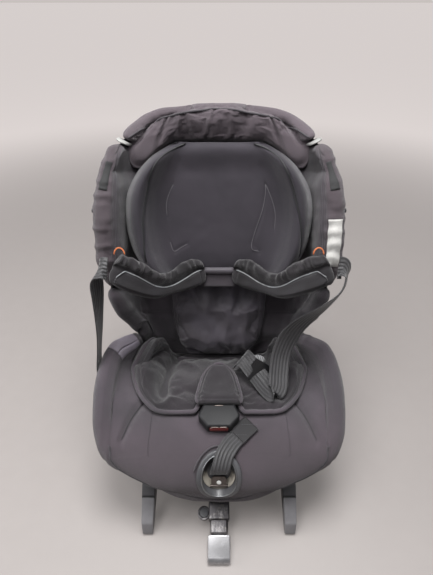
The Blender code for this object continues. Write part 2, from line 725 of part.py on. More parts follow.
# Headrest
def head_grid(face, lift, rows, columns):
    """One face of the headrest as a grid; face 1 is the front and 2 the rear."""
    halves = HEAD_SECTION_SHARES
    section = [(-across, front, rear) for across, front, rear in reversed(halves[1:])] + list(halves)
    grid = []
    for height, wide, full in rows:
        line = []
        for share in section[columns:len(section) - columns]:
            middle = (share[1] + share[2]) / 2
            depth = mix(middle, share[face], full) if face == 1 else mix(middle, share[face], max(full, 0.8))
            line.append(on_back(HEAD_HALF_WIDTH * wide * share[0], HEAD_LOW + HEAD_HEIGHT * height,
                                HEAD_REAR_OUT + HEAD_DEPTH * depth + lift))
        grid.append(line)
    return grid


def draw_head_cushion(drawing):
    lift = HEAD_SHELL_THICKNESS + FIT_GAP
    add_blanket(drawing, head_grid(1, 0, HEAD_ROW_SHARES, 0), head_grid(2, lift, HEAD_ROW_SHARES, 0))


def draw_head_shell(drawing):
    rows = HEAD_ROW_SHARES[HEAD_SHELL_SKIP_COUNT:-HEAD_SHELL_SKIP_COUNT]
    add_blanket(drawing, head_grid(2, HEAD_SHELL_THICKNESS, rows, 1), head_grid(2, 0, rows, 1))


def shell_out(across, up):
    """How far out the shell lies at a place on the backrest plane."""
    origin = on_back(0, 0, 0)
    low, high = BACK_COVER_ROWS[0], SHELL_LAST_ROW
    for step in range(HALVING_STEPS):
        row = (low + high) / 2
        turn = math.degrees(math.asin(across / (station(row)[2] * SHELL_HALF_WIDTH)))
        place = shell_point(row, turn) - origin
        low, high = (row, high) if place.dot(on_back(0, 1, 0) - origin) < up else (low, row)
    return place.dot(on_back(0, 0, 1) - origin)


def draw_guide_rail(drawing, side):
    """A bar on the shell that the headrest runs on, bent back to the shell at its ends."""
    foot, head = (shell_out(RAIL_ACROSS, up) + RAIL_FOOT_GAP for up in (RAIL_LOW, RAIL_HIGH))
    bend = RAIL_BEND / 2
    route = ((RAIL_LOW, foot), (RAIL_LOW, RAIL_OUT - bend), (RAIL_LOW + bend, RAIL_OUT),
             (RAIL_HIGH - bend, RAIL_OUT), (RAIL_HIGH, RAIL_OUT - bend), (RAIL_HIGH, head))
    add_tube(drawing, [on_back(side * RAIL_ACROSS, up, out) for up, out in route], RAIL_RADIUS)


def add_tube(drawing, route, radius, sides=SMALL_ROUND_SIDES):
    """A round tube along a route that lies in one plane, mitred at its corners."""
    plane = Vector((0, 0, 0))
    for index in range(1, len(route) - 1):
        plane += (route[index] - route[index - 1]).cross(route[index + 1] - route[index])
    plane.normalize()
    rings = []
    for index, place in enumerate(route):
        before = (place - route[index - 1]).normalized() if index > 0 else None
        after = (route[index + 1] - place).normalized() if index + 1 < len(route) else None
        ahead = ((before or after) + (after or before)).normalized()
        side = ahead.cross(plane)
        stretch = 1 / max(side.dot((before or after).cross(plane)), 0.5)
        rings.append([place + (side * math.cos(angle) * stretch + plane * math.sin(angle)) * radius
                      for angle in (math.tau * step / sides for step in range(sides))])
    add_loft(drawing, rings)


def draw_carriage(drawing):
    """A T-shaped slide: its head runs on the rails and its neck carries the headrest shell."""
    back = RAIL_OUT - CARRIAGE_DEPTH / 2
    front = RAIL_OUT + CARRIAGE_DEPTH / 2
    reach = HEAD_REAR_OUT - FIT_GAP
    wide = CARRIAGE_HALF_WIDTH
    neck = CARRIAGE_NECK_HALF_WIDTH
    outline = ((-wide, back), (wide, back), (wide, front), (neck, front), (neck, reach), (-neck, reach),
               (-neck, front), (-wide, front))
    ends = (CARRIAGE_LOW, CARRIAGE_LOW + CARRIAGE_HEIGHT)
    add_loft(drawing, [[on_back(across, up, out) for across, out in outline] for up in ends])


def draw_carriage_bores(drawing):
    for side in (-1, 1):
        add_rod(drawing, on_back(side * RAIL_ACROSS, CARRIAGE_LOW - CUT_OVERRUN, RAIL_OUT),
                on_back(side * RAIL_ACROSS, CARRIAGE_LOW + CARRIAGE_HEIGHT + CUT_OVERRUN, RAIL_OUT),
                RAIL_RADIUS + FIT_GAP * 2)


def draw_head_handle(drawing):
    low = CARRIAGE_LOW + CARRIAGE_HEIGHT + HANDLE_GAP
    high = HEAD_REAR_OUT - FIT_GAP
    add_back_box(drawing, (-HANDLE_HALF_WIDTH, low, high - HANDLE_DEPTH),
                 (HANDLE_HALF_WIDTH, low + HANDLE_HEIGHT, high), HANDLE_DEPTH / 5)


def pad_place(index):
    """A place on the right-hand pad's centre line: across, up, out."""
    across, up, out = PAD_ROUTE_SHARES[index]
    return HEAD_HALF_WIDTH * across, HEAD_LOW + HEAD_HEIGHT * up, HEAD_REAR_OUT + HEAD_DEPTH * out


def draw_shoulder_pad(drawing, side):
    """A flat padded sleeve along its route, fuller in the middle."""
    places = [pad_place(index) for index in range(len(PAD_ROUTE_SHARES))]
    route = [on_back(side * across, up, out) for across, up, out in places]
    rings = []
    for index, place in enumerate(route):
        ahead = (route[min(index + 1, len(route) - 1)] - route[max(index - 1, 0)]).normalized()
        up = (on_back(0, 1, 0) - on_back(0, 0, 0))
        up = (up - ahead * up.dot(ahead)).normalized()
        out = ahead.cross(up)
        full = PAD_FULLNESS_SHARES[index]
        ring = []
        for step in range(PAD_CORNERS):
            angle = math.tau * step / PAD_CORNERS
            flat = abs(math.cos(angle)) ** 0.6 * math.copysign(1, math.cos(angle))
            thick = abs(math.sin(angle)) ** 0.8 * math.copysign(1, math.sin(angle))
            ring.append(place + up * PAD_HALF_HEIGHT * full * flat + out * PAD_HALF_DEPTH * full * thick)
        rings.append(ring)
    add_loft(drawing, rings)


def draw_elastic_loop(drawing, side):
    """A small elastic loop on the outer top corner of a shoulder pad."""
    across, up, out = pad_place(-2)
    foot = up + PAD_HALF_HEIGHT * PAD_FULLNESS_SHARES[-2] + LOOP_RADIUS + FIT_GAP
    route = []
    for step in range(LOOP_STEPS + 1):
        angle = math.pi * step / LOOP_STEPS
        route.append(on_back(side * (across - math.cos(angle) * LOOP_SPAN / 2),
                             foot + LOOP_RISE * math.sin(angle), out))
    add_tube(drawing, route, LOOP_RADIUS, LOOP_STEPS)


# Harness
def add_strap(drawing, route, sides, half_width=WEBBING_HALF_WIDTH, thickness=WEBBING_THICKNESS):
    """A flat strap along a route; sides are the directions of its width."""
    top = []
    bottom = []
    for index, place in enumerate(route):
        ahead = (route[min(index + 1, len(route) - 1)] - route[max(index - 1, 0)]).normalized()
        side = Vector(sides[index])
        side = (side - ahead * side.dot(ahead)).normalized()
        out = ahead.cross(side) * (thickness / 2)
        edges = [place + side * half_width * share for share in (-1, 1)]
        top.append([edge + out for edge in edges])
        bottom.append([edge - out for edge in edges])
    add_blanket(drawing, top, bottom)


# Centre lines of the two loose straps in shares of the shell, and the directions of their width
LEFT_STRAP_ROUTE_SHARES = ((-0.9135, 0.380, 0.672), (-0.964, 0.384, 0.671), (-1.000, 0.388, 0.653),
                           (-1.016, 0.388, 0.620), (-1.027, 0.382, 0.568), (-1.039, 0.373, 0.507),
                           (-1.050, 0.367, 0.437), (-1.066, 0.358, 0.368), (-1.084, 0.349, 0.307),
                           (-1.091, 0.343, 0.251), (-1.089, 0.343, 0.193))
LEFT_STRAP_SIDE_SHARES = ((0, 0.4, 0.9), (0.2, 0.6, 0.75), (0.5, 0.75, 0.3), (0.6, 0.8, 0),
                          (0.5, 0.85, 0), (0.35, 0.95, 0), (0.2, 1, 0), (0.1, 1, 0), (0.04, 1, 0),
                          (0, 1, 0), (0, 1, 0))
RIGHT_STRAP_ROUTE_SHARES = ((0.927, 0.380, 0.672), (0.968, 0.380, 0.669), (0.993, 0.367, 0.648),
                            (0.959, 0.343, 0.606), (0.864, 0.341, 0.547), (0.741, 0.354, 0.477),
                            (0.618, 0.362, 0.408), (0.500, 0.354, 0.347), (0.418, 0.332, 0.307))
RIGHT_STRAP_SIDE_SHARES = ((0, 0.4, 0.9), (0.1, 0.7, 0.7), (0.3, 0.9, 0.2), (0.5, 0.8, -0.2),
                           (0.6, 0.6, -0.5), (0.7, 0.3, -0.6), (0.75, 0, -0.6), (0.8, 0, -0.5),
                           (0.9, 0.1, -0.3))


def strap_route(shares):
    return [Vector((SHELL_HALF_WIDTH * across, SHELL_FRONT_Y + SHELL_RUN * run,
                    SHELL_LOW_Z + SHELL_HEIGHT * rise)) for across, run, rise in shares]


def draw_left_strap(drawing):
    add_strap(drawing, strap_route(LEFT_STRAP_ROUTE_SHARES), LEFT_STRAP_SIDE_SHARES)


def draw_right_strap(drawing):
    add_strap(drawing, strap_route(RIGHT_STRAP_ROUTE_SHARES), RIGHT_STRAP_SIDE_SHARES)


def add_tongue(drawing, top, down, side):
    """A metal tongue hanging from the end of a strap, narrowing to its latch end."""
    out = down.cross(side).normalized() * TONGUE_THICKNESS
    wide = side.normalized() * TONGUE_HALF_WIDTH
    shape = ((-1, 0), (-1, 0.4), (-0.5, 0.55), (-0.5, 1), (0.5, 1), (0.5, 0.55), (1, 0.4), (1, 0))
    front = [top + wide * across + down * TONGUE_LENGTH * along - out / 2 for across, along in shape]
    add_loft(drawing, [front, [point + out for point in front]])


def draw_tongue(drawing, shares, side):
    """The tongue at the end of one strap."""
    near, end = strap_route(shares)[-2:]
    down = (end - near).normalized()
    side = Vector(side)
    add_tongue(drawing, end + down * FIT_GAP * 2, down, side - down * side.dot(down))


# Crotch strap, pad and buckle
def cushion_axes(row):
    """Place and axes on top of the seat cover, on its middle line."""
    across, along, out = shell_axes(row, 0)
    return shell_point(row, 0) + out * (SOFT_GAP + cover_thickness(row, 0)), across, along, out


def buckle_matrix():
    place, across, along, out = cushion_axes(BUCKLE_ROW_INDEX)
    return frame_matrix(place + out * FIT_GAP * 2, across, along, out)


def add_framed_box(drawing, matrix, low, high, edge):
    start = len(drawing.verts)
    add_box(drawing, low, high, edge)
    drawing.verts.ensure_lookup_table()
    bmesh.ops.transform(drawing, matrix=matrix, verts=drawing.verts[start:])


def draw_buckle(drawing):
    """A six-sided housing, a little smaller at its top."""
    matrix = buckle_matrix()
    half = [(across, along) for across, along in BUCKLE_OUTLINE_SHARES]
    outline = half + [(-across, along) for across, along in reversed(half)]
    profile = ((BUCKLE_EDGE, 0), (0, BUCKLE_EDGE), (0, BUCKLE_THICKNESS - BUCKLE_EDGE),
               (BUCKLE_EDGE, BUCKLE_THICKNESS))
    rings = []
    for inset, height in profile:
        wide = BUCKLE_HALF_WIDTH - inset
        long = BUCKLE_HALF_LENGTH - inset
        rings.append([matrix @ Vector((across * wide, along * long, height)) for across, along in outline])
    add_loft(drawing, rings)


def button_box(grow, reach, ahead):
    """The corners of the button, or of its pocket."""
    middle = BUCKLE_THICKNESS / 2
    return ((-BUTTON_HALF_WIDTH - grow, -BUCKLE_HALF_LENGTH - ahead, middle - BUTTON_THICKNESS / 2 - grow),
            (BUTTON_HALF_WIDTH + grow, -BUCKLE_HALF_LENGTH + reach, middle + BUTTON_THICKNESS / 2 + grow))


def draw_buckle_pocket(drawing):
    low, high = button_box(FIT_GAP, BUTTON_LENGTH + BUTTON_TRAVEL, CUT_OVERRUN)
    add_framed_box(drawing, buckle_matrix(), low, high, 0)


def draw_buckle_button(drawing):
    low, high = button_box(0, BUTTON_LENGTH - BUTTON_TRAVEL / 2, BUTTON_TRAVEL / 2)
    add_framed_box(drawing, buckle_matrix(), low, high, BUTTON_EDGE)


def crotch_route():
    """From the shell up through the slot, then forward to the rear face of the buckle."""
    across, along, out = shell_axes(CROTCH_ROW_INDEX, 0)
    shell = shell_point(CROTCH_ROW_INDEX, 0)
    top = shell + out * (SOFT_GAP + cover_thickness(CROTCH_ROW_INDEX, 0))
    matrix = buckle_matrix()
    rear = matrix @ Vector((0, BUCKLE_HALF_LENGTH + FIT_GAP, BUCKLE_THICKNESS / 2))
    middle = (top + rear) / 2
    return [shell + out * SOFT_GAP, top, top + out * CROTCH_RISE * 0.55,
            middle + out * CROTCH_RISE * 0.62, rear]


def draw_crotch_strap(drawing):
    route = crotch_route()
    add_strap(drawing, route, [(1, 0, 0)] * len(route))


def draw_crotch_slot(drawing):
    across, along, out = shell_axes(CROTCH_ROW_INDEX, 0)
    matrix = frame_matrix(shell_point(CROTCH_ROW_INDEX, 0), across, along, out)
    depth = cover_thickness(CROTCH_ROW_INDEX, 0) + CUT_OVERRUN
    add_framed_box(drawing, matrix, (-CROTCH_SLOT_HALF_WIDTH, -CROTCH_SLOT_HALF_LENGTH, -SHELL_THICKNESS),
                   (CROTCH_SLOT_HALF_WIDTH, CROTCH_SLOT_HALF_LENGTH, depth), 0)


def draw_crotch_pad(drawing):
    """A padded flap with a round upper end that lies over the crotch strap."""
    across, along, out = shell_axes(CROTCH_ROW_INDEX, 0)
    high = max(crotch_route(), key=lambda place: place.dot(out))
    base = high + out * (WEBBING_THICKNESS / 2 + SOFT_GAP)
    columns = [index * 2 / CROTCH_PAD_COLUMNS - 1 for index in range(CROTCH_PAD_COLUMNS + 1)]
    top = []
    bottom = []
    for step in range(CROTCH_PAD_ROWS + 1):
        share = step / CROTCH_PAD_ROWS
        wide = CROTCH_PAD_HALF_WIDTH * math.sqrt(max(1 - max((share - 0.35) / 0.66, 0) ** 2.4, 0.03))
        wide *= mix(0.86, 1, ramp(share, 0, 0.3))
        lift = CROTCH_PAD_LENGTH * CROTCH_PAD_LIFT_SHARE * share * share
        place = base + along * CROTCH_PAD_LENGTH * (share - CROTCH_PAD_AHEAD_SHARE) + out * lift
        full = CROTCH_PAD_THICKNESS * mix(0.5, 1, ramp(min(share, 1 - share), 0, 0.2))
        bottom.append([place + across * wide * column for column in columns])
        top.append([place + across * wide * column
                    + out * full * mix(0.5, 1, ramp(1 - abs(column), 0, 0.35)) for column in columns])
    add_blanket(drawing, top, bottom)


# Harness adjuster
def adjuster_pitch():
    """The distance along the cover from one row to the next, about the adjuster."""
    lift = cover_thickness(ADJUSTER_ROW_INDEX, 0)
    far = over_shell(ADJUSTER_ROW_INDEX + 0.5, 0, lift)
    return (far - over_shell(ADJUSTER_ROW_INDEX - 0.5, 0, lift)).length


def adjuster_place(across, along, lift):
    """A place in the adjuster, by its distance from the middle and its height over the shell."""
    row = ADJUSTER_ROW_INDEX + along / adjuster_pitch()
    turn = math.degrees(math.asin(across / (station(row)[2] * SHELL_HALF_WIDTH)))
    return over_shell(row, turn, lift)


def adjuster_top():
    return SOFT_GAP + cover_thickness(ADJUSTER_ROW_INDEX, 0) + BEZEL_PROUD


def oval(inset, height):
    ring = []
    for step in range(BEZEL_SIDES):
        angle = math.tau * step / BEZEL_SIDES
        ring.append(adjuster_place((BEZEL_HALF_WIDTH - inset) * math.cos(angle),
                                   (BEZEL_HALF_LENGTH - inset) * math.sin(angle), height))
    return ring


def draw_bezel(drawing):
    """An oval cup, curved like the front of the seat, with a rounded lip."""
    high = adjuster_top()
    floor = SOFT_GAP + BEZEL_FLOOR
    inner = BEZEL_HALF_WIDTH * BEZEL_CENTRE_SHARE
    profile = ((inner, SOFT_GAP), (BEZEL_HALF_WIDTH / 2, SOFT_GAP), (0, SOFT_GAP), (0, high - BEZEL_EDGE),
               (BEZEL_EDGE, high), (BEZEL_RIM - BEZEL_EDGE, high), (BEZEL_RIM, high - BEZEL_EDGE),
               (BEZEL_RIM, floor), (BEZEL_HALF_WIDTH / 2, floor), (inner, floor))
    add_loft(drawing, [oval(inset, height) for inset, height in profile])


def draw_bezel_hole(drawing):
    low = -SHELL_THICKNESS / 2
    high = adjuster_top() + CUT_OVERRUN
    inner = BEZEL_HALF_WIDTH * BEZEL_CENTRE_SHARE
    profile = ((inner, low), (BEZEL_HALF_WIDTH / 2, low), (-FIT_GAP * 3, low), (-FIT_GAP * 3, high / 2),
               (-FIT_GAP * 3, high), (BEZEL_HALF_WIDTH / 2, high), (inner, high))
    add_loft(drawing, [oval(inset, height) for inset, height in profile])


def lever_matrix():
    """The lever's axis lies across the lower part of the cup."""
    along = (LEVER_ROW_INDEX - ADJUSTER_ROW_INDEX) * adjuster_pitch()
    place = adjuster_place(0, along - LEVER_LENGTH / 2, LEVER_RISE)
    far = adjuster_place(0, along + LEVER_LENGTH / 2, LEVER_RISE)
    ahead = (far - place).normalized()
    side = Vector((1, 0, 0))
    return frame_matrix(place, side, ahead, side.cross(ahead))


def draw_lever(drawing):
    matrix = lever_matrix()
    outline = ((-1, 0), (-1, 0.7), (-0.7, 1), (0.7, 1), (1, 0.7), (1, 0))
    rings = []
    for lift in (-LEVER_THICKNESS / 2, LEVER_THICKNESS / 2):
        rings.append([matrix @ Vector((LEVER_HALF_WIDTH * across, LEVER_LENGTH * along, lift))
                      for across, along in outline])
    add_loft(drawing, rings)


def draw_lever_pin(drawing):
    """The lever's pin, which reaches the walls of the cup."""
    matrix = lever_matrix()
    place = (LEVER_ROW_INDEX - ADJUSTER_ROW_INDEX) * adjuster_pitch() - LEVER_LENGTH / 2
    share = (abs(place) + LEVER_PIN_RADIUS) / (BEZEL_HALF_LENGTH - BEZEL_RIM)
    reach = (BEZEL_HALF_WIDTH - BEZEL_RIM) * math.sqrt(1 - share * share) - FIT_GAP * 2
    add_rod(drawing, matrix @ Vector((-reach, 0, 0)), matrix @ Vector((reach, 0, 0)), LEVER_PIN_RADIUS)


def draw_rivet(drawing):
    matrix = lever_matrix()
    place = LEVER_LENGTH * RIVET_PLACE_SHARE
    add_rod(drawing, matrix @ Vector((0, place, 0)),
            matrix @ Vector((0, place, LEVER_THICKNESS / 2 + RIVET_HEIGHT)), RIVET_RADIUS)


def draw_adjuster_strap(drawing):
    """Out of the cup, over its upper lip and along the cushion to its loose end."""
    route = [over_shell(row, turn, SOFT_GAP + cover_thickness(row, 0) + COVER_THICKNESS * lift)
             for row, turn, lift in ADJUSTER_STRAP_ROUTE_SHARES]
    sides = [shell_axes(row, turn)[0] for row, turn, lift in ADJUSTER_STRAP_ROUTE_SHARES]
    add_strap(drawing, route, sides, ADJUSTER_STRAP_HALF_WIDTH)


# Recline arc
def on_arc(radius, angle, across=0):
    """A place on an arc about the recline centre; angle 0 is straight down, positive is forward."""
    turn = math.radians(angle)
    return Vector((across, RECLINE_Y - radius * math.sin(turn), RECLINE_Z - radius * math.cos(turn)))


def arc_angles(start, end):
    steps = max(int(abs(end - start) / ARC_STEP), 1)
    return [mix(start, end, index / steps) for index in range(steps + 1)]


def band_outline(inner, outer, start, end):
    angles = arc_angles(start, end)
    points = [on_arc(inner, angle) for angle in angles]
    points += [on_arc(outer, angle) for angle in reversed(angles)]
    return [(point.y, point.z) for point in points]


def draw_rail_plate(drawing, side):
    start = SHAFT_REAR_ANGLE - RAIL_PLATE_END
    end = SHAFT_FRONT_ANGLE + RECLINE_RANGE + RAIL_PLATE_END
    inner = SLOT_RADIUS - RAIL_PLATE_ABOVE_SLOT
    outline = band_outline(inner, SLOT_RADIUS + RAIL_PLATE_BELOW_SLOT, start, end)
    near = side * RAIL_PLATE_ACROSS
    add_prism(drawing, outline, near - RAIL_PLATE_THICKNESS / 2, near + RAIL_PLATE_THICKNESS / 2)


def draw_rail_slots(drawing, side):
    """Two round-ended slots along the arc."""
    half = SHAFT_RADIUS + FIT_GAP
    for start in (SHAFT_FRONT_ANGLE, SHAFT_REAR_ANGLE):
        ends = []
        for angle, way in ((start, -1), (start + RECLINE_RANGE, 1)):
            centre = on_arc(SLOT_RADIUS, angle)
            for step in range(7):
                turn = math.radians(angle) - math.pi * step / 6
                radial = Vector((0, math.sin(turn), math.cos(turn)))
                ends.append(centre + radial * half * way)
        middle_angles = arc_angles(start, start + RECLINE_RANGE)[1:-1]
        upper = [on_arc(SLOT_RADIUS - half, angle) for angle in middle_angles]
        lower = [on_arc(SLOT_RADIUS + half, angle) for angle in reversed(middle_angles)]
        outline = [(point.y, point.z) for point in ends[:7] + upper + ends[7:] + lower]
        near = side * RAIL_PLATE_ACROSS
        add_prism(drawing, outline, near - CUT_OVERRUN, near + CUT_OVERRUN)


def draw_cradle_plate(drawing, side):
    """A side plate under the shell: its top follows the shell and its foot follows the arc."""
    front = SHAFT_FRONT_ANGLE + 3
    rear = SHAFT_REAR_ANGLE - 1.5
    near = side * CRADLE_ACROSS
    turn = math.degrees(math.asin(CRADLE_ACROSS / SHELL_HALF_WIDTH))
    rows = [row for row in SHELL_ROWS if CRADLE_FRONT_ROW_INDEX <= row <= CRADLE_REAR_ROW_INDEX]
    drop = SHELL_THICKNESS + SOFT_GAP
    upper = [over_shell(row, turn, -drop) for row in rows]
    outline = [(point.y, point.z) for point in upper]
    foot = [on_arc(SLOT_RADIUS + CRADLE_BELOW_SLOT, angle) for angle in arc_angles(rear, front)]
    outline += [(point.y, point.z) for point in foot]
    add_prism(drawing, outline, near - CRADLE_THICKNESS / 2, near + CRADLE_THICKNESS / 2)


def shaft_reach():
    return RAIL_PLATE_ACROSS + RAIL_PLATE_THICKNESS / 2 + FIT_GAP * 2


def draw_shaft(drawing, angle):
    """A shaft across both rails, with a flat head at each end."""
    reach = shaft_reach()
    profile = ((-reach - CLIP_THICKNESS, CLIP_RADIUS), (-reach, CLIP_RADIUS), (-reach, SHAFT_RADIUS),
               (reach, SHAFT_RADIUS), (reach, CLIP_RADIUS), (reach + CLIP_THICKNESS, CLIP_RADIUS))
    rings = []
    for across, radius in profile:
        centre = on_arc(SLOT_RADIUS, angle, across)
        turns = [math.tau * step / SMALL_ROUND_SIDES for step in range(SMALL_ROUND_SIDES)]
        rings.append([centre + Vector((0, math.cos(turn), math.sin(turn))) * radius for turn in turns])
    add_loft(drawing, rings)


def draw_shaft_holes(drawing, side):
    near = side * CRADLE_ACROSS
    for angle in (SHAFT_FRONT_ANGLE, SHAFT_REAR_ANGLE):
        start = on_arc(SLOT_RADIUS, angle, near - CUT_OVERRUN)
        end = on_arc(SLOT_RADIUS, angle, near + CUT_OVERRUN)
        add_rod(drawing, start, end, SHAFT_RADIUS + FIT_GAP)


# Base
def draw_housing(drawing):
    """The housing's side view: flat below, and its top follows the recline arc."""
    radius = SLOT_RADIUS + RAIL_PLATE_BELOW_SLOT + FIT_GAP
    front = math.degrees(math.asin((RECLINE_Y - HOUSING_FRONT_Y) / radius))
    rear = -math.degrees(math.asin((HOUSING_REAR_Y - RECLINE_Y) / radius))
    points = [on_arc(radius, angle) for angle in arc_angles(front, rear)]
    outline = [(point.y, point.z) for point in points]
    outline += [(HOUSING_REAR_Y, HOUSING_BOTTOM_Z), (HOUSING_FRONT_Y, HOUSING_BOTTOM_Z)]
    add_prism(drawing, outline, -HOUSING_HALF_WIDTH, HOUSING_HALF_WIDTH)


def draw_channel(drawing):
    """The open channel below that the leg folds into."""
    add_box(drawing, (-CHANNEL_HALF_WIDTH, HOUSING_FRONT_Y - CUT_OVERRUN, HOUSING_BOTTOM_Z - CUT_OVERRUN),
            (CHANNEL_HALF_WIDTH, HOUSING_REAR_Y + CUT_OVERRUN, CHANNEL_ROOF_Z))


def draw_leg_bore(drawing):
    reach = HOUSING_HALF_WIDTH + CUT_OVERRUN
    add_rod(drawing, (-reach, LEG_PIVOT_Y, LEG_PIVOT_Z), (reach, LEG_PIVOT_Y, LEG_PIVOT_Z),
            LEG_PIN_RADIUS + FIT_GAP)


def draw_leg_pin(drawing):
    reach = HOUSING_HALF_WIDTH * 0.5
    add_rod(drawing, (-reach, LEG_PIVOT_Y, LEG_PIVOT_Z), (reach, LEG_PIVOT_Y, LEG_PIVOT_Z), LEG_PIN_RADIUS)


def draw_button_bore(drawing):
    add_rod(drawing, (RECLINE_BUTTON_ACROSS, HOUSING_FRONT_Y - CUT_OVERRUN, RECLINE_BUTTON_Z),
            (RECLINE_BUTTON_ACROSS, HOUSING_FRONT_Y + RECLINE_BUTTON_SUNK + RECLINE_BUTTON_TRAVEL + FIT_GAP,
             RECLINE_BUTTON_Z), RECLINE_BUTTON_RADIUS + FIT_GAP, ROUND_SIDES)


def draw_recline_button(drawing):
    rear = HOUSING_FRONT_Y + RECLINE_BUTTON_SUNK
    add_rod(drawing, (RECLINE_BUTTON_ACROSS, rear - RECLINE_BUTTON_LENGTH, RECLINE_BUTTON_Z),
            (RECLINE_BUTTON_ACROSS, rear, RECLINE_BUTTON_Z), RECLINE_BUTTON_RADIUS, ROUND_SIDES)


def draw_rear_pad(drawing, side):
    middle = side * (HOUSING_HALF_WIDTH - REAR_PAD_WIDTH / 2 - HOUSING_EDGE)
    rear = HOUSING_REAR_Y - HOUSING_EDGE
    add_box(drawing, (middle - REAR_PAD_WIDTH / 2, rear - REAR_PAD_LENGTH, 0),
            (middle + REAR_PAD_WIDTH / 2, rear, HOUSING_BOTTOM_Z - FIT_GAP), HOUSING_EDGE / 3)


# Anchor arms
def draw_arm_rail(drawing, side):
    middle = side * ARM_ACROSS
    wide = ARM_RAIL_WIDTH / 2
    high = ARM_RAIL_HEIGHT / 2
    add_box(drawing, (middle - wide, ARM_RAIL_FRONT_Y, ARM_RAIL_CENTRE_Z - high),
            (middle + wide, ARM_RAIL_REAR_Y, ARM_RAIL_CENTRE_Z + high), ARM_RAIL_WALL / 2)


def arm_half_sizes():
    return ARM_RAIL_WIDTH / 2 - ARM_RAIL_WALL, ARM_RAIL_HEIGHT / 2 - ARM_RAIL_WALL


def draw_arm_bore(drawing, side):
    wide, high = arm_half_sizes()
    middle = side * ARM_ACROSS
    add_box(drawing, (middle - wide, ARM_FRONT_Y - CUT_OVERRUN, ARM_RAIL_CENTRE_Z - high),
            (middle + wide, ARM_RAIL_REAR_Y + CUT_OVERRUN, ARM_RAIL_CENTRE_Z + high))


def draw_arm(drawing, side):
    wide, high = (size - FIT_GAP for size in arm_half_sizes())
    middle = side * ARM_ACROSS
    rear = CONNECTOR_REAR_Y - CONNECTOR_LENGTH - FIT_GAP
    add_box(drawing, (middle - wide, ARM_FRONT_Y, ARM_RAIL_CENTRE_Z - high),
            (middle + wide, rear, ARM_RAIL_CENTRE_Z + high), ARM_RAIL_WALL / 2)


def draw_connector(drawing, side):
    middle = side * ARM_ACROSS
    half = CONNECTOR_WIDTH / 2
    tall = CONNECTOR_HEIGHT / 2
    add_box(drawing, (middle - half, CONNECTOR_REAR_Y - CONNECTOR_LENGTH, ARM_RAIL_CENTRE_Z - tall),
            (middle + half, CONNECTOR_REAR_Y, ARM_RAIL_CENTRE_Z + tall), CONNECTOR_EDGE)


def jaw_low():
    return ARM_RAIL_CENTRE_Z - CONNECTOR_JAW_HEIGHT / 2


def draw_connector_cuts(drawing, side):
    """The jaw that takes the anchor bar."""
    middle = side * ARM_ACROSS
    half = CONNECTOR_WIDTH / 2 + CUT_OVERRUN
    add_box(drawing, (middle - half, CONNECTOR_REAR_Y - CONNECTOR_JAW_LENGTH, jaw_low()),
            (middle + half, CONNECTOR_REAR_Y + CUT_OVERRUN, jaw_low() + CONNECTOR_JAW_HEIGHT))


def draw_hook_pocket(drawing, side):
    """A narrow pocket above the jaw, open on top, that the hook lifts through."""
    middle = side * ARM_ACROSS
    half = HOOK_THICKNESS / 2 + FIT_GAP * 2
    low = jaw_low() + CONNECTOR_JAW_HEIGHT / 2
    high = ARM_RAIL_CENTRE_Z + CONNECTOR_HEIGHT / 2 + CUT_OVERRUN
    add_box(drawing, (middle - half, CONNECTOR_REAR_Y - HOOK_POCKET_LENGTH, low),
            (middle + half, CONNECTOR_REAR_Y + CUT_OVERRUN, high))


def hook_place(side):
    return Vector((side * ARM_ACROSS, CONNECTOR_REAR_Y - HOOK_POCKET_LENGTH + HOOK_HEIGHT,
                   jaw_low() + CONNECTOR_JAW_HEIGHT + HOOK_HEIGHT / 2 - FIT_GAP * 2))


def draw_hook(drawing, side):
    """A latch that turns about its pin, with a nose that closes the jaw."""
    pin = hook_place(side)
    tall = HOOK_HEIGHT / 2
    nose = pin.z - tall - CONNECTOR_JAW_HEIGHT * 0.42
    outline = ((pin.y - tall, pin.z - tall * 0.6), (pin.y - tall, pin.z + tall * 0.6), (pin.y, pin.z + tall),
               (pin.y + HOOK_LENGTH, pin.z + tall), (pin.y + HOOK_LENGTH + HOOK_HEIGHT, pin.z - tall * 0.5),
               (pin.y + HOOK_LENGTH, nose), (pin.y + HOOK_LENGTH - tall, nose),
               (pin.y + HOOK_LENGTH - tall, pin.z - tall), (pin.y, pin.z - tall))
    add_prism(drawing, outline, pin.x - HOOK_THICKNESS / 2, pin.x + HOOK_THICKNESS / 2)


def draw_release(drawing, side):
    """A finger slide on top of the connector."""
    middle = side * ARM_ACROSS
    low = ARM_RAIL_CENTRE_Z + CONNECTOR_HEIGHT / 2 + FIT_GAP
    near = CONNECTOR_REAR_Y - CONNECTOR_LENGTH + CONNECTOR_EDGE + RELEASE_TRAVEL
    add_box(drawing, (middle - RELEASE_WIDTH / 2, near, low),
            (middle + RELEASE_WIDTH / 2, near + RELEASE_LENGTH, low + RELEASE_HEIGHT), RELEASE_HEIGHT / 5)


def draw_front_foot(drawing, side):
    """A tapering foot that slopes down and forward from the end of the arm's rail to the floor."""
    middle = side * ARM_ACROSS
    top = ARM_RAIL_CENTRE_Z + ARM_RAIL_HEIGHT / 2
    rear = ARM_RAIL_FRONT_Y - FIT_GAP
    outline = ((rear, top), (rear - ARM_RAIL_HEIGHT, top * 0.98),
               (FOOT_TIP_Y + FOOT_TIP_LENGTH * 0.35, top * 0.42), (FOOT_TIP_Y, top * 0.1),
               (FOOT_TIP_Y + FOOT_TIP_LENGTH * 0.15, 0), (FOOT_TIP_Y + FOOT_TIP_LENGTH, 0),
               (rear - ARM_RAIL_HEIGHT * 0.5, top * 0.4), (rear, top * 0.52))
    rings = []
    for share in (-1, 1):
        ring = []
        for y, z in outline:
            wide = mix(FOOT_WIDTH_TIP, FOOT_WIDTH_TOP, z / top) / 2
            ring.append(Vector((middle + share * wide, y, z)))
        rings.append(ring)
    add_loft(drawing, rings)


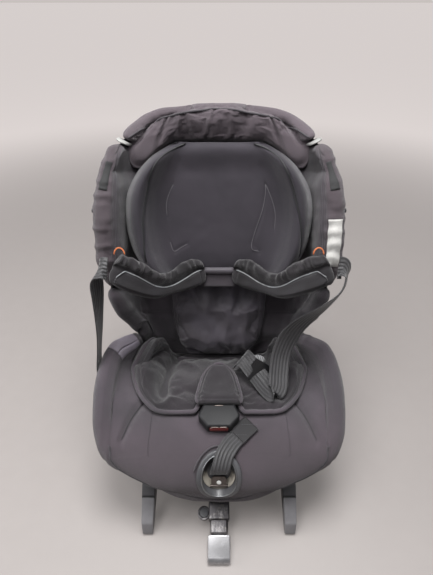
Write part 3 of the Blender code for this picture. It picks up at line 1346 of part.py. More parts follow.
# Support leg
def leg_matrix():
    """The leg's own axes at its pivot: across, down along the leg, and up off it."""
    slope = math.radians(LEG_SLOPE)
    along = Vector((0, -math.cos(slope), -math.sin(slope)))
    out = Vector((0, -math.sin(slope), math.cos(slope)))
    return frame_matrix(Vector((0, LEG_PIVOT_Y, LEG_PIVOT_Z)), along.cross(out), along, out)


def draw_sleeve(drawing):
    add_framed_box(drawing, leg_matrix(),
                   (-LEG_SLEEVE_HALF_WIDTH, -LEG_SLEEVE_BEHIND, -LEG_SLEEVE_HEIGHT / 2),
                   (LEG_SLEEVE_HALF_WIDTH, LEG_SLEEVE_LENGTH, LEG_SLEEVE_HEIGHT / 2), LEG_SLEEVE_WALL)


def draw_sleeve_bore(drawing):
    grow = FIT_GAP * 2
    wide = LEG_TUBE_HALF_WIDTH + grow
    high = LEG_TUBE_HEIGHT / 2 + grow
    add_framed_box(drawing, leg_matrix(), (-wide, LEG_TUBE_START - grow, -high),
                   (wide, LEG_SLEEVE_LENGTH + CUT_OVERRUN, high), 0)


def draw_sleeve_eye(drawing):
    reach = LEG_SLEEVE_HALF_WIDTH + CUT_OVERRUN
    add_rod(drawing, (-reach, LEG_PIVOT_Y, LEG_PIVOT_Z), (reach, LEG_PIVOT_Y, LEG_PIVOT_Z),
            LEG_PIN_RADIUS + FIT_GAP * 2)


def lug_disc(drawing, radius, low, high):
    """A disc at the leg's side lug, between two heights off the leg's middle."""
    matrix = leg_matrix()
    add_rod(drawing, matrix @ Vector((LEG_LUG_ACROSS, LEG_LUG_PLACE, low)),
            matrix @ Vector((LEG_LUG_ACROSS, LEG_LUG_PLACE, high)), radius, ROUND_SIDES)


def draw_lug(drawing):
    lug_disc(drawing, LEG_LUG_RADIUS, -LEG_LUG_THICKNESS / 2, LEG_LUG_THICKNESS / 2)


def draw_leg_button_bore(drawing):
    foot = LEG_LUG_THICKNESS / 2 - LEG_BUTTON_SUNK - LEG_BUTTON_TRAVEL
    lug_disc(drawing, LEG_BUTTON_RADIUS + FIT_GAP, foot, LEG_SLEEVE_HEIGHT)


def draw_leg_button(drawing):
    foot = LEG_LUG_THICKNESS / 2 - LEG_BUTTON_SUNK
    lug_disc(drawing, LEG_BUTTON_RADIUS, foot, foot + LEG_BUTTON_HEIGHT)


def leg_tube_length():
    """The tube runs to the middle of the foot."""
    return (LEG_PIVOT_Y - LEG_FOOT_FRONT_Y - LEG_FOOT_LENGTH) / math.cos(math.radians(LEG_SLOPE))


def draw_leg_tube(drawing):
    high = LEG_TUBE_HEIGHT / 2
    add_framed_box(drawing, leg_matrix(), (-LEG_TUBE_HALF_WIDTH, LEG_TUBE_START, -high),
                   (LEG_TUBE_HALF_WIDTH, leg_tube_length() - FIT_GAP * 3, high), LEG_TUBE_HEIGHT / 5)


def draw_leg_foot(drawing):
    """The foot's side view: flat on the floor, rounded in front and square to the tube behind."""
    matrix = leg_matrix()
    upper = matrix @ Vector((0, leg_tube_length(), LEG_TUBE_HEIGHT * 0.72))
    lower = matrix @ Vector((0, leg_tube_length(), -LEG_TUBE_HEIGHT * 0.72))
    front = LEG_FOOT_FRONT_Y
    outline = ((upper.y, upper.z), (front + LEG_FOOT_LENGTH * 0.45, LEG_FOOT_HEIGHT * 0.72),
               (front + LEG_FOOT_LENGTH * 0.12, LEG_FOOT_HEIGHT * 0.5), (front, LEG_FOOT_HEIGHT * 0.28),
               (front + LEG_FOOT_LENGTH * 0.06, LEG_FOOT_HEIGHT * 0.08), (front + LEG_FOOT_LENGTH * 0.18, 0),
               (lower.y - LEG_FOOT_LENGTH * 0.1, 0), (lower.y, lower.z))
    add_prism(drawing, outline, -LEG_FOOT_HALF_WIDTH, LEG_FOOT_HALF_WIDTH)


def leg_button_place():
    return leg_matrix() @ Vector((LEG_LUG_ACROSS, LEG_LUG_PLACE, LEG_LUG_THICKNESS / 2))


# Bodies and pieces
def build_base(base):
    housing = add_piece("base_housing", base, BLACK_PLASTIC, draw_housing)
    cut(housing, base, "cut_channel", draw_channel)
    cut(housing, base, "cut_leg_bore", draw_leg_bore)
    cut(housing, base, "cut_button_bore", draw_button_bore)
    add_piece("leg_pin", base, STEEL, draw_leg_pin)
    for side, word in ((-1, "left"), (1, "right")):
        rail = add_piece("recline_rail_" + word, base, DARK_STEEL, draw_rail_plate, side)
        cut(rail, base, "cut_slots_" + word, draw_rail_slots, side)
        rail = add_piece("arm_rail_" + word, base, GREY_PLASTIC, draw_arm_rail, side)
        cut(rail, base, "cut_arm_bore_" + word, draw_arm_bore, side)
        add_piece("front_foot_" + word, base, GREY_PLASTIC, draw_front_foot, side)
        add_piece("rear_pad_" + word, base, RUBBER, draw_rear_pad, side)


def build_recline_button(base):
    body = Body("recline_button_body", (RECLINE_BUTTON_ACROSS, HOUSING_FRONT_Y, RECLINE_BUTTON_Z), base)
    add_piece("recline_button", body, BLACK_PLASTIC, draw_recline_button)


def build_arms(base):
    for side, word in ((-1, "left"), (1, "right")):
        arm = Body("arm_body_" + word, (side * ARM_ACROSS, ARM_RAIL_REAR_Y, ARM_RAIL_CENTRE_Z), base)
        add_piece("anchor_arm_" + word, arm, STEEL, draw_arm, side)
        connector = add_piece("connector_" + word, arm, BLACK_PLASTIC, draw_connector, side)
        cut(connector, arm, "cut_jaw_" + word, draw_connector_cuts, side)
        cut(connector, arm, "cut_hook_pocket_" + word, draw_hook_pocket, side)
        hook = Body("hook_body_" + word, hook_place(side), arm)
        add_piece("latch_hook_" + word, hook, STEEL, draw_hook, side)
        slide = Body("release_body_" + word, (side * ARM_ACROSS, CONNECTOR_REAR_Y - CONNECTOR_LENGTH,
                                              ARM_RAIL_CENTRE_Z + CONNECTOR_HEIGHT / 2), arm)
        add_piece("release_slider_" + word, slide, GREY_PLASTIC, draw_release, side)


def build_leg(base):
    leg = Body("leg_body", (0, LEG_PIVOT_Y, LEG_PIVOT_Z), base)
    sleeve = add_piece("leg_sleeve", leg, BLACK_PLASTIC, draw_sleeve)
    join(sleeve, leg, "leg_lug_guide", draw_lug)
    cut(sleeve, leg, "cut_sleeve_bore", draw_sleeve_bore)
    cut(sleeve, leg, "cut_sleeve_eye", draw_sleeve_eye)
    cut(sleeve, leg, "cut_leg_button_bore", draw_leg_button_bore)
    button = Body("leg_button_body", leg_button_place(), leg)
    add_piece("leg_lock_button", button, GREY_PLASTIC, draw_leg_button)
    slide = Body("leg_slide_body", (0, LEG_PIVOT_Y, LEG_PIVOT_Z), leg)
    add_piece("leg_tube", slide, STEEL, draw_leg_tube)
    add_piece("leg_foot", slide, GREY_PLASTIC, draw_leg_foot)


def build_seat(seat):
    add_piece("seat_shell", seat, BLACK_PLASTIC, draw_seat_shell)
    for side, word in ((-1, "left"), (1, "right")):
        plate = add_piece("cradle_plate_" + word, seat, DARK_STEEL, draw_cradle_plate, side)
        cut(plate, seat, "cut_shafts_" + word, draw_shaft_holes, side)
        add_piece("guide_rail_" + word, seat, STEEL, draw_guide_rail, side)
        add_piece("wing_pad_" + word, seat, FABRIC, draw_wing_pad, side)
        add_piece("side_liner_" + word, seat, PALE_PLASTIC, draw_side_liner, side)
    add_piece("cradle_shaft_front", seat, STEEL, draw_shaft, SHAFT_FRONT_ANGLE)
    add_piece("cradle_shaft_rear", seat, STEEL, draw_shaft, SHAFT_REAR_ANGLE)
    add_piece("rear_panel", seat, BLACK_PLASTIC, draw_rear_panel)
    cover = add_piece("seat_cover", seat, FABRIC, add_padding, SEAT_COVER_ROWS, wrapped_turns(), on_shell,
                      cover_thickness)
    cut(cover, seat, "cut_bezel_hole", draw_bezel_hole)
    cut(cover, seat, "cut_crotch_slot", draw_crotch_slot)
    add_piece("seat_insert", seat, FABRIC, outline_padding, INSERT_OUTLINE, TURN_STEPS, insert_seat,
              insert_thickness, INSERT_NOTCH_ROWS)
    add_piece("back_cover", seat, FABRIC, add_padding, BACK_COVER_ROWS, wrapped_turns(), on_shell,
              cover_thickness)
    add_piece("back_pad", seat, FABRIC, outline_padding, BACK_PAD_OUTLINE, TURN_STEPS, back_pad_seat,
              back_pad_thickness)
    add_piece("top_pad", seat, FABRIC, draw_top_pad)


def build_harness(seat):
    add_piece("harness_strap_left", seat, WEBBING, draw_left_strap)
    add_piece("harness_strap_right", seat, WEBBING, draw_right_strap)
    add_piece("tongue_left", seat, STEEL, draw_tongue, LEFT_STRAP_ROUTE_SHARES, LEFT_STRAP_SIDE_SHARES[-1])
    add_piece("tongue_right", seat, STEEL, draw_tongue, RIGHT_STRAP_ROUTE_SHARES, RIGHT_STRAP_SIDE_SHARES[-1])
    add_piece("crotch_strap", seat, WEBBING, draw_crotch_strap)
    add_piece("crotch_pad", seat, FABRIC, draw_crotch_pad)
    buckle = add_piece("buckle_housing", seat, BLACK_PLASTIC, draw_buckle)
    cut(buckle, seat, "cut_buckle_pocket", draw_buckle_pocket)
    button = Body("buckle_button_body", buckle_matrix().translation, seat)
    add_piece("buckle_button", button, RED_PLASTIC, draw_buckle_button)
    add_piece("adjuster_bezel", seat, GREY_PLASTIC, draw_bezel)
    add_piece("adjuster_strap", seat, WEBBING, draw_adjuster_strap)
    lever = Body("adjuster_lever_body", lever_matrix().translation, seat)
    plate = add_piece("adjuster_lever", lever, PLATE_METAL, draw_lever)
    join(plate, lever, "lever_pin_guide", draw_lever_pin)
    join(plate, lever, "rivet_guide", draw_rivet)


def build_headrest(seat):
    head = Body("headrest_body", on_back(0, HEAD_LOW, HEAD_REAR_OUT), seat)
    carriage = add_piece("headrest_carriage", head, BLACK_PLASTIC, draw_carriage)
    cut(carriage, head, "cut_carriage_bores", draw_carriage_bores)
    add_piece("headrest_shell", head, BLACK_PLASTIC, draw_head_shell)
    add_piece("headrest_cushion", head, JERSEY, draw_head_cushion)
    add_piece("shoulder_pad_left", head, FABRIC, draw_shoulder_pad, -1)
    add_piece("shoulder_pad_right", head, FABRIC, draw_shoulder_pad, 1)
    add_piece("elastic_loop_left", head, ORANGE_CORD, draw_elastic_loop, -1)
    add_piece("elastic_loop_right", head, ORANGE_CORD, draw_elastic_loop, 1)
    handle = Body("headrest_handle_body", on_back(0, CARRIAGE_LOW + CARRIAGE_HEIGHT, HEAD_REAR_OUT), head)
    add_piece("headrest_handle", handle, GREY_PLASTIC, draw_head_handle)


def main():
    remove_everything()
    base = Body("base_body", (0, 0, 0))
    build_base(base)
    build_recline_button(base)
    build_arms(base)
    build_leg(base)
    seat = Body("seat_body", (0, RECLINE_Y, RECLINE_Z), base)
    build_seat(seat)
    build_harness(seat)
    build_headrest(seat)


main()
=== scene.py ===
"""A padded child car seat on its base: covers, pads, webbing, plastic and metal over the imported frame."""

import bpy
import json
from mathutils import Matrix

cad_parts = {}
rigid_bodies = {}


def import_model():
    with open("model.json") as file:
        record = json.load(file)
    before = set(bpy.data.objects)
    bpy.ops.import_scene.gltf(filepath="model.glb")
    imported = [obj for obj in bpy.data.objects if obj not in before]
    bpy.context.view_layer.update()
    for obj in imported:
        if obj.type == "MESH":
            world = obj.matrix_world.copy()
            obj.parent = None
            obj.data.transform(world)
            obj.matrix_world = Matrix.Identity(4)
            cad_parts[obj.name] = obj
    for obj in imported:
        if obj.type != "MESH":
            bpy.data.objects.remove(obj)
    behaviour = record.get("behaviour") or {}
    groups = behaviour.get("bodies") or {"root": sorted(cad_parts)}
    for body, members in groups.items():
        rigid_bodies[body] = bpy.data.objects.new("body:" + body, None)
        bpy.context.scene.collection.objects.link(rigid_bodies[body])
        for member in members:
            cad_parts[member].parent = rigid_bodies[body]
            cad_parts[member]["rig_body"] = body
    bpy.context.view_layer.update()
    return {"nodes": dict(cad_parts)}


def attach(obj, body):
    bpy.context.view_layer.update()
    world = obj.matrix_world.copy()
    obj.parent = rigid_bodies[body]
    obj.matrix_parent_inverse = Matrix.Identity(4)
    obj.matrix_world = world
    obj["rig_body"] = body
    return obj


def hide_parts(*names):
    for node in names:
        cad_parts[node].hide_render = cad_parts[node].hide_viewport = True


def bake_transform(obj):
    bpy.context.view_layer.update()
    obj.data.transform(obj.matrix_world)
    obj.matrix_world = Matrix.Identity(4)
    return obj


bl_info = {
    "name": "Child Car Seat Dressing",
    "version": (1, 0, 0),
    "blender": (4, 5, 0),
    "location": "View3D > Sidebar > Car Seat",
    "description": "Makes the covers, pads, webbing and finishes of a child car seat",
    "category": "Add Mesh",
}

import functools
import json
import math

import bmesh
import bpy
import numpy as np
from mathutils import Matrix, Vector, noise

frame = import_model()

# The shell's stations from front to top: run, rise, half width, wall height, wall lean in degrees, squareness
STATIONS = (
    (0.005, 0.000, 0.500, -0.154, 175, 2.2), (0.000, 0.063, 0.680, -0.169, 168, 2.2),
    (0.031, 0.111, 0.825, -0.092, 140, 2.2), (0.100, 0.146, 0.955, 0.115, 108, 2.3),
    (0.203, 0.157, 1.010, 0.323, 94, 2.6), (0.322, 0.143, 1.015, 0.554, 90, 2.8),
    (0.429, 0.124, 0.965, 0.746, 94, 3.0), (0.515, 0.111, 0.850, 0.815, 100, 3.0),
    (0.582, 0.136, 0.770, 0.708, 108, 3.0), (0.614, 0.193, 0.735, 0.569, 118, 3.0),
    (0.639, 0.275, 0.785, 0.508, 140, 3.0), (0.684, 0.366, 0.865, 0.677, 158, 3.2),
    (0.732, 0.463, 0.935, 0.885, 158, 3.4), (0.797, 0.593, 0.955, 1.000, 158, 3.4),
    (0.861, 0.722, 0.945, 0.985, 158, 3.4), (0.917, 0.835, 0.880, 0.808, 158, 3.2),
    (0.950, 0.899, 0.800, 0.462, 158, 3.0), (0.978, 0.956, 0.660, 0.192, 158, 2.6),
    (0.991, 0.983, 0.490, 0.062, 158, 2.4), (1.000, 1.000, 0.250, 0.015, 158, 2.2),
)
FRONT_Y, LOW_Z, RUN, HEIGHT = -0.2045, 0.104, 0.465, 0.574
HALF_WIDTH, WALL_HEIGHT, WALL = 0.22, 0.13, 0.004
LAST_ROW = len(STATIONS) - 1
# A turn is an angle round the shell: over the rim at 90, past it by 180, and down outside to the hem
RIM, ROUND, HEM_END = 90, 180, 240
RIM_FULLNESS, HEM_DEPTH, HEM_SPREAD = 1.2, 0.020, 0.0038
WRAP_STEP = 12
CREASE_ROW = 8.05
# The shell's directions are read over so many degrees and rows to each side
TURN_REACH, ROW_REACH = 12, 0.3
# A cover lies this far off the shell; a row or a degree of a pad is about so much cloth
SEAT = 0.0008
ROW_LENGTH, DEGREE_LENGTH = 0.028, 0.0034
# The back's slope and the place where it starts
BACK_TILT = math.atan(0.4987 * RUN / HEIGHT)
BACK_Y, BACK_Z = FRONT_Y + RUN * 0.515, LOW_Z + HEIGHT * 0.1585
SIDES = ((-1, "left"), (1, "right"))
# The headrest's rows: height, half width, fullness; and its section: across, front, rear
HEAD_LOW, HEAD_HEIGHT, HEAD_HALF, HEAD_REAR, HEAD_DEPTH = 0.215, 0.247, 0.170, 0.034, 0.096
HEAD_ROWS = ((0, 0.68, 0.3), (0.03, 0.76, 0.66), (0.1, 0.85, 0.9), (0.22, 0.94, 1), (0.38, 0.99, 1),
             (0.52, 0.995, 1), (0.66, 0.955, 1), (0.79, 0.85, 0.95), (0.89, 0.715, 0.84),
             (0.96, 0.56, 0.6), (1, 0.44, 0.28))
HEAD_SECTION = ((0, 0.375, 0), (0.16, 0.378, 0), (0.32, 0.385, 0), (0.48, 0.40, 0), (0.58, 0.44, 0),
                (0.67, 0.54, 0.01), (0.74, 0.70, 0.03), (0.80, 0.86, 0.07), (0.86, 0.92, 0.13),
                (0.93, 0.83, 0.22), (1, 0.60, 0.42))
HEAD_LAST_ROW, HEAD_EDGE, HEAD_LAST_COLUMN = len(HEAD_ROWS) - 1, len(HEAD_SECTION) - 1, 14
# Outlines: row on the shell and turn of the edge
INSERT_OUTLINE = ((3.72, 27), (3.84, 33), (4.35, 41), (4.95, 47), (5.4, 52), (5.9, 60), (6.4, 67), (6.95, 71),
                  (7.6, 69), (8.2, 58))
BACK_PAD_OUTLINE = ((8.35, 23), (8.9, 27), (9.5, 30), (10, 31), (10.5, 31), (11, 30), (11.5, 29), (12, 26))
# Routes of the shoulder pads and straps, and the sides that the straps face
SHOULDER_ROUTE = ((0.159, 0.053, 0.533), (0.329, 0.028, 0.574), (0.518, -0.004, 0.710),
                  (0.676, -0.004, 0.949), (0.841, 0.045, 1.168), (1.006, 0.101, 1.303), (1.129, 0.142, 1.376))
SHOULDER_FULL = (0.72, 0.95, 0.9, 1, 1, 0.96, 0.8)
SHOULDER_END, SHOULDER_HALF = len(SHOULDER_ROUTE) - 1, 0.030
LEFT_STRAP = ((-0.870, 0.380, 0.668), (-0.915, 0.384, 0.668), (-0.960, 0.388, 0.650),
              (-0.982, 0.388, 0.618), (-0.990, 0.382, 0.568), (-1.004, 0.373, 0.507),
              (-1.026, 0.367, 0.437), (-1.054, 0.358, 0.368), (-1.080, 0.349, 0.307),
              (-1.091, 0.343, 0.251), (-1.089, 0.343, 0.193))
LEFT_STRAP_SIDES = ((0, 0.4, 0.9), (0.1, 0.6, 0.75), (0.25, 0.85, 0.3), (0.35, 0.9, 0), (0.28, 0.9, 0),
                    (0.16, 0.95, 0), (0.06, 1, 0), (0, 1, 0), (0, 1, 0), (0, 1, 0), (0, 1, 0))
RIGHT_STRAP = ((0.927, 0.380, 0.672), (0.968, 0.380, 0.669), (0.993, 0.367, 0.648), (0.959, 0.343, 0.606),
               (0.840, 0.341, 0.547), (0.695, 0.354, 0.477), (0.600, 0.358, 0.408), (0.545, 0.335, 0.347),
               (0.525, 0.295, 0.297), (0.515, 0.255, 0.262), (0.480, 0.240, 0.247), (0.425, 0.262, 0.252),
               (0.365, 0.296, 0.266), (0.290, 0.340, 0.284), (0.225, 0.390, 0.286), (0.190, 0.425, 0.235))
RIGHT_STRAP_SIDES = ((0, 0.4, 0.9), (0.1, 0.7, 0.7), (0.3, 0.9, 0.2), (0.5, 0.8, -0.2), (0.6, 0.6, -0.5),
                     (0.75, 0.3, -0.6), (0.8, 0, -0.5), (0.9, 0, -0.3), (1, 0, -0.1), (1, 0, 0),
                     (0.9, 0.2, 0.3), (0.75, 0.35, 0.5), (0.65, 0.44, 0.62), (0.65, 0.44, 0.62),
                     (0.6, 0.4, 0.6), (0.6, 0.4, 0.5))
STRAP_HALF_WIDTH, STRAP_THICKNESS = 0.019, 0.0022
# The adjuster's strap: row, turn and lift; its row, and the half sizes of its bezel and tray
ADJUSTER_STRAP = ((1.55, 0, -0.52), (1.68, 0, -0.16), (1.95, 1, 0.18), (2.4, 3, 0.27), (2.72, 6, 0.2),
                  (2.95, 9, 0.11), (3.15, 12, 0.075), (3.4, 16, 0.065))
ADJUSTER_ROW = 1.5
BEZEL_WIDE, BEZEL_HIGH, TRAY_WIDE, TRAY_HIGH = 0.0405, 0.050, 0.0290, 0.0390
# Rows of the buckle and of the crotch strap's slot, and the crotch pad's length
BUCKLE_ROW, CROTCH_ROW, CROTCH_LENGTH = 3.5, 4.3, 0.088


# Small tools
def mix(one, two, share):
    """A value on the way from one to two."""
    return one + (two - one) * share


def ramp(value, low, high):
    """An easy slope from 0 at low to 1 at high."""
    part = min(max((value - low) / (high - low), 0), 1)
    return part * part * (3 - 2 * part)


def dip(value, centre, half):
    """1 at the centre, easing to 0 at half a width to each side."""
    return 1 - ramp(abs(value - centre), 0, half)


def bell(distance, width):
    """A bell curve: 1 at no distance, fading out past the width."""
    return math.exp(-(distance / width) ** 2)


def rounded(distance, radius):
    """A rounded edge: a quarter circle from 0 up to 1 at the radius."""
    share = min(max(distance / radius, 0), 1)
    return math.sqrt(1 - (1 - share) ** 2)


def smooth_value(values, at):
    """A smooth curve through evenly spaced values, read between them."""
    last = len(values) - 1
    cell = min(max(int(at), 0), last - 1)
    part = at - cell
    one, two = values[cell], values[cell + 1]
    before = values[cell - 1] if cell > 0 else 2 * one - two
    after = values[cell + 2] if cell + 2 <= last else 2 * two - one
    start, finish = (two - before) / 2, (after - one) / 2
    curve = 2 * one - 2 * two + start + finish
    bend = 3 * two - 3 * one - 2 * start - finish
    return ((curve * part + bend) * part + start) * part + one


def smooth_place(table, at):
    """The same curve through each column of a table."""
    return [smooth_value(column, at) for column in zip(*table)]


def between(table, value):
    """Reads a table of (value, result) pairs in order, with easy slopes between them."""
    for (one, low), (two, high) in zip(table, table[1:]):
        if value <= two:
            return mix(low, high, min(max((value - one) / (two - one), 0), 1))
    return table[-1][1]


def spread(low, high, step):
    """Even steps from low to high, both of them included."""
    count = max(round(abs(high - low) / step), 1)
    return [low + (high - low) * index / count for index in range(count + 1)]


def ripple(place, size, seed=0.0):
    """Smooth noise from -1 to 1 with bumps of about the given size."""
    return noise.noise(Vector(place) / size + Vector((seed, seed * 1.7, -seed)))


def crumple(place, size, seed=0.0):
    """Soft folds: 0 on a ridge, falling to about -1 beside it."""
    return -min(abs(ripple(place, size, seed)) * 2.4, 1.0)


# The shell's surface, which everything is fitted to
@functools.lru_cache(maxsize=None)
def station(row):
    """The shell's section at a row."""
    return smooth_place(STATIONS, row)


@functools.lru_cache(maxsize=None)
def shell_point(row, turn):
    """A place on the shell's inside."""
    run, rise, wide, wall, lean, square = station(row)
    side, middle = math.sin(math.radians(turn)), math.cos(math.radians(turn))
    reach = (abs(side) ** square + abs(middle) ** square) ** (-1 / square)
    height = WALL_HEIGHT * wall * (1 - reach * middle)
    lean = math.radians(lean)
    return Vector((HALF_WIDTH * wide * reach * side, FRONT_Y + RUN * run + height * math.cos(lean),
                   LOW_Z + HEIGHT * rise + height * math.sin(lean)))


@functools.lru_cache(maxsize=None)
def shell_axes(row, turn):
    """Directions across, along and out from the shell."""
    across = shell_point(row, min(turn + TURN_REACH, RIM)) - shell_point(row, max(turn - TURN_REACH, -RIM))
    along = shell_point(min(row + ROW_REACH, LAST_ROW), turn) - shell_point(max(row - ROW_REACH, 0), turn)
    out = across.cross(along).normalized()
    across = across.normalized()
    return across, out.cross(across), out


def over_shell(row, turn, lift):
    """A place at a height over the shell; past 90 the turn goes over the rim and down outside."""
    if abs(turn) <= RIM:
        return shell_point(row, turn) + shell_axes(row, turn)[2] * lift
    side = math.copysign(1, turn)
    past = abs(turn) - RIM
    across, along, out = shell_axes(row, RIM * side)
    up = across * side
    angle = math.radians(min(past, ROUND))
    middle = shell_point(row, RIM * side) - out * (WALL / 2)
    radius = WALL / 2 + lift
    place = middle + out * math.cos(angle) * radius + up * math.sin(angle) * radius * RIM_FULLNESS
    hem = max(past - ROUND, 0) / (HEM_END - ROUND) * ramp(row, 2.9, 4.2)
    return place - up * HEM_DEPTH * hem - out * HEM_SPREAD * hem


def wrap_turns(inner_step):
    """Turns from hem to hem, close together inside and wider apart over the rim."""
    past = spread(RIM + WRAP_STEP, RIM + HEM_END, WRAP_STEP)
    return [-turn for turn in reversed(past)] + spread(-RIM, RIM, inner_step) + past


def on_back(across, up, out):
    """A place by its distance across, up along and out from the back's plane."""
    return Vector((across, BACK_Y + up * math.sin(BACK_TILT) - out * math.cos(BACK_TILT),
                   BACK_Z + up * math.cos(BACK_TILT) + out * math.sin(BACK_TILT)))


BACK_UP = on_back(0, 1, 0) - on_back(0, 0, 0)
BACK_OUT = on_back(0, 0, 1) - on_back(0, 0, 0)


# Sizes and colours that a user would change
class CarSeatSettings(bpy.types.PropertyGroup):
    cover_colour: bpy.props.FloatVectorProperty(
        name="Cover colour", description="Colour of the woven covers", subtype="COLOR", size=3,
        min=0, max=1, default=(0.036, 0.0315, 0.0365))
    jersey_colour: bpy.props.FloatVectorProperty(
        name="Headrest colour", description="Colour of the smooth headrest fabric", subtype="COLOR", size=3,
        min=0, max=1, default=(0.0235, 0.0208, 0.0262))
    webbing_colour: bpy.props.FloatVectorProperty(
        name="Webbing colour", description="Colour of the harness webbing", subtype="COLOR", size=3,
        min=0, max=1, default=(0.032, 0.031, 0.033))
    plastic_colour: bpy.props.FloatVectorProperty(
        name="Plastic colour", description="Colour of the moulded shell and base", subtype="COLOR", size=3,
        min=0, max=1, default=(0.020, 0.020, 0.022))
    loop_colour: bpy.props.FloatVectorProperty(
        name="Loop colour", description="Colour of the two elastic loops", subtype="COLOR", size=3,
        min=0, max=1, default=(0.42, 0.125, 0.045))
    weave_pitch: bpy.props.FloatProperty(
        name="Weave pitch", description="Distance from one thread of the cover to the next", unit="LENGTH",
        min=0.0003, max=0.01, default=0.0011, precision=4)
    piping_radius: bpy.props.FloatProperty(
        name="Piping radius", description="Radius of the sewn piping", unit="LENGTH",
        min=0.0005, max=0.006, default=0.0021, precision=4)
    stitch_pitch: bpy.props.FloatProperty(
        name="Stitch pitch", description="Distance from one stitch to the next", unit="LENGTH",
        min=0.001, max=0.02, default=0.0042, precision=4)
    fold_depth: bpy.props.FloatProperty(
        name="Fold depth", description="Depth of the folds in the covers", unit="LENGTH",
        min=0, max=0.01, default=0.0030, precision=4)
    lamp_strength: bpy.props.FloatProperty(
        name="Lamp strength", description="Share of the studio lamps' full power", subtype="FACTOR",
        min=0, max=2, default=1.0)


def settings():
    """The values in the panel."""
    return bpy.context.scene.car_seat


# Materials
class Value:
    """A shader value that takes part in plain arithmetic."""

    def __init__(self, finish, socket):
        self.finish = finish
        self.socket = socket

    def math(self, operation, *parts):
        return self.finish.node("Math", {"operation": operation}, dict(enumerate(parts)))

    def __add__(self, other):
        return self.math("ADD", self, other)

    def __sub__(self, other):
        return self.math("SUBTRACT", self, other)

    def __rsub__(self, other):
        return self.math("SUBTRACT", other, self)

    def __mul__(self, other):
        return self.math("MULTIPLY", self, other)

    def sine(self):
        return self.math("SINE", self)

    def step(self, low, high):
        return self.finish.node("MapRange", {"interpolation_type": "SMOOTHSTEP"},
                                {"Value": self, "From Min": low, "From Max": high})

    __radd__ = __add__
    __rmul__ = __mul__


class Finish:
    """A material being made; its nodes are added by kind, settings and socket values."""

    def __init__(self, name, roughness, metallic=0.0, **constants):
        self.material = bpy.data.materials.new(name)
        self.material.use_nodes = True
        self.tree = self.material.node_tree
        self.surface = self.tree.nodes["Principled BSDF"]
        for key, value in {"Roughness": roughness, "Metallic": metallic, **constants}.items():
            self.surface.inputs[key].default_value = value
        self.place = self.node("TexCoord", output=3)
        self.cloth = self.node("TexCoord", output=2)

    def node(self, kind, options=None, inputs=None, output=0):
        made = self.tree.nodes.new("ShaderNode" + kind)
        for key, value in (options or {}).items():
            setattr(made, key, value)
        for key, value in (inputs or {}).items():
            if isinstance(value, Value):
                self.tree.links.new(value.socket, made.inputs[key])
            else:
                made.inputs[key].default_value = value
        if isinstance(output, tuple):
            return [Value(self, made.outputs[index]) for index in output]
        return Value(self, made.outputs[output])

    def noise(self, scale, detail=3.0, roughness=0.55, vector=None):
        return self.node("TexNoise", None, {"Vector": vector or self.place, "Scale": scale, "Detail": detail,
                                            "Roughness": roughness})

    def blend(self, one, two, share):
        colours = [value if isinstance(value, Value) else (*value, 1) for value in (one, two)]
        return self.node("Mix", {"data_type": "RGBA"}, {0: share, 6: colours[0], 7: colours[1]}, 2)

    def feed(self, **values):
        for key, value in values.items():
            self.tree.links.new(value.socket, self.surface.inputs[key.replace("_", " ")])

    def bump(self, height, distance, strength=1.0):
        self.feed(Normal=self.node("Bump", None, {"Strength": strength, "Distance": distance,
                                                  "Height": height}))


def lighter(colour, factor, tint=(1, 1, 1)):
    """A colour made lighter or darker, and tinted."""
    return tuple(min(part * factor * shade, 1) for part, shade in zip(colour, tint))


@functools.lru_cache(maxsize=None)
def cover_cloth(name="cover_cloth", factor=1.0):
    """Matt woven polyester, faded and dusty where it has been used."""
    colour = lighter(tuple(settings().cover_colour), factor)
    finish = Finish(name, 0.92, **{"Sheen Weight": 0.22, "Sheen Roughness": 0.55, "Specular IOR Level": 0.2})
    u, v = finish.node("SeparateXYZ", None, {0: finish.cloth}, (0, 1))
    turns = math.tau / settings().weave_pitch
    weave = (u * turns).sine() * (v * turns).sine()
    fuzz = finish.noise(1400, 2)
    worn = finish.noise(9, 5, 0.6)
    dust = finish.noise(260, 3, 0.7).step(0.66, 0.78)
    faded = finish.node("Attribute", {"attribute_name": "fade"}, output=2)
    base = finish.blend(colour, lighter(colour, 1.35, (1.06, 1.0, 1.03)), worn.step(0.38, 0.68))
    base = finish.blend(base, lighter(colour, 1.5, (1.12, 0.99, 0.98)), faded * 0.8)
    base = finish.blend(base, lighter(colour, 2.6), dust * 0.22 + weave.step(0.2, 0.9) * 0.10)
    finish.feed(Base_Color=base, Roughness=worn * 0.14 + 0.82)
    finish.bump(weave * 0.5 + fuzz * 0.6 + worn * 0.5, 0.0004, 0.75)
    return finish.material


@functools.lru_cache(maxsize=None)
def jersey():
    """Smooth knitted fabric: fine columns of loops, with a soft sheen."""
    colour = tuple(settings().jersey_colour)
    finish = Finish("jersey", 0.8, **{"Sheen Weight": 0.3, "Sheen Roughness": 0.4,
                                      "Specular IOR Level": 0.25})
    u, v = finish.node("SeparateXYZ", None, {0: finish.cloth}, (0, 1))
    turns = math.tau / (settings().weave_pitch * 0.8)
    rib = (u * turns).sine() * 0.6 + (v * turns * 1.3 + (u * turns).sine() * 1.2).sine() * 0.4
    worn = finish.noise(7, 4, 0.55)
    lint = finish.noise(420, 2, 0.75).step(0.70, 0.80)
    base = finish.blend(colour, lighter(colour, 1.35, (1.03, 1.0, 1.0)), worn.step(0.35, 0.7))
    base = finish.blend(base, lighter(colour, 3.0), lint * 0.16)
    finish.feed(Base_Color=base, Roughness=worn * 0.16 + 0.70)
    finish.bump(rib * 0.5 + worn, 0.00025, 0.7)
    return finish.material


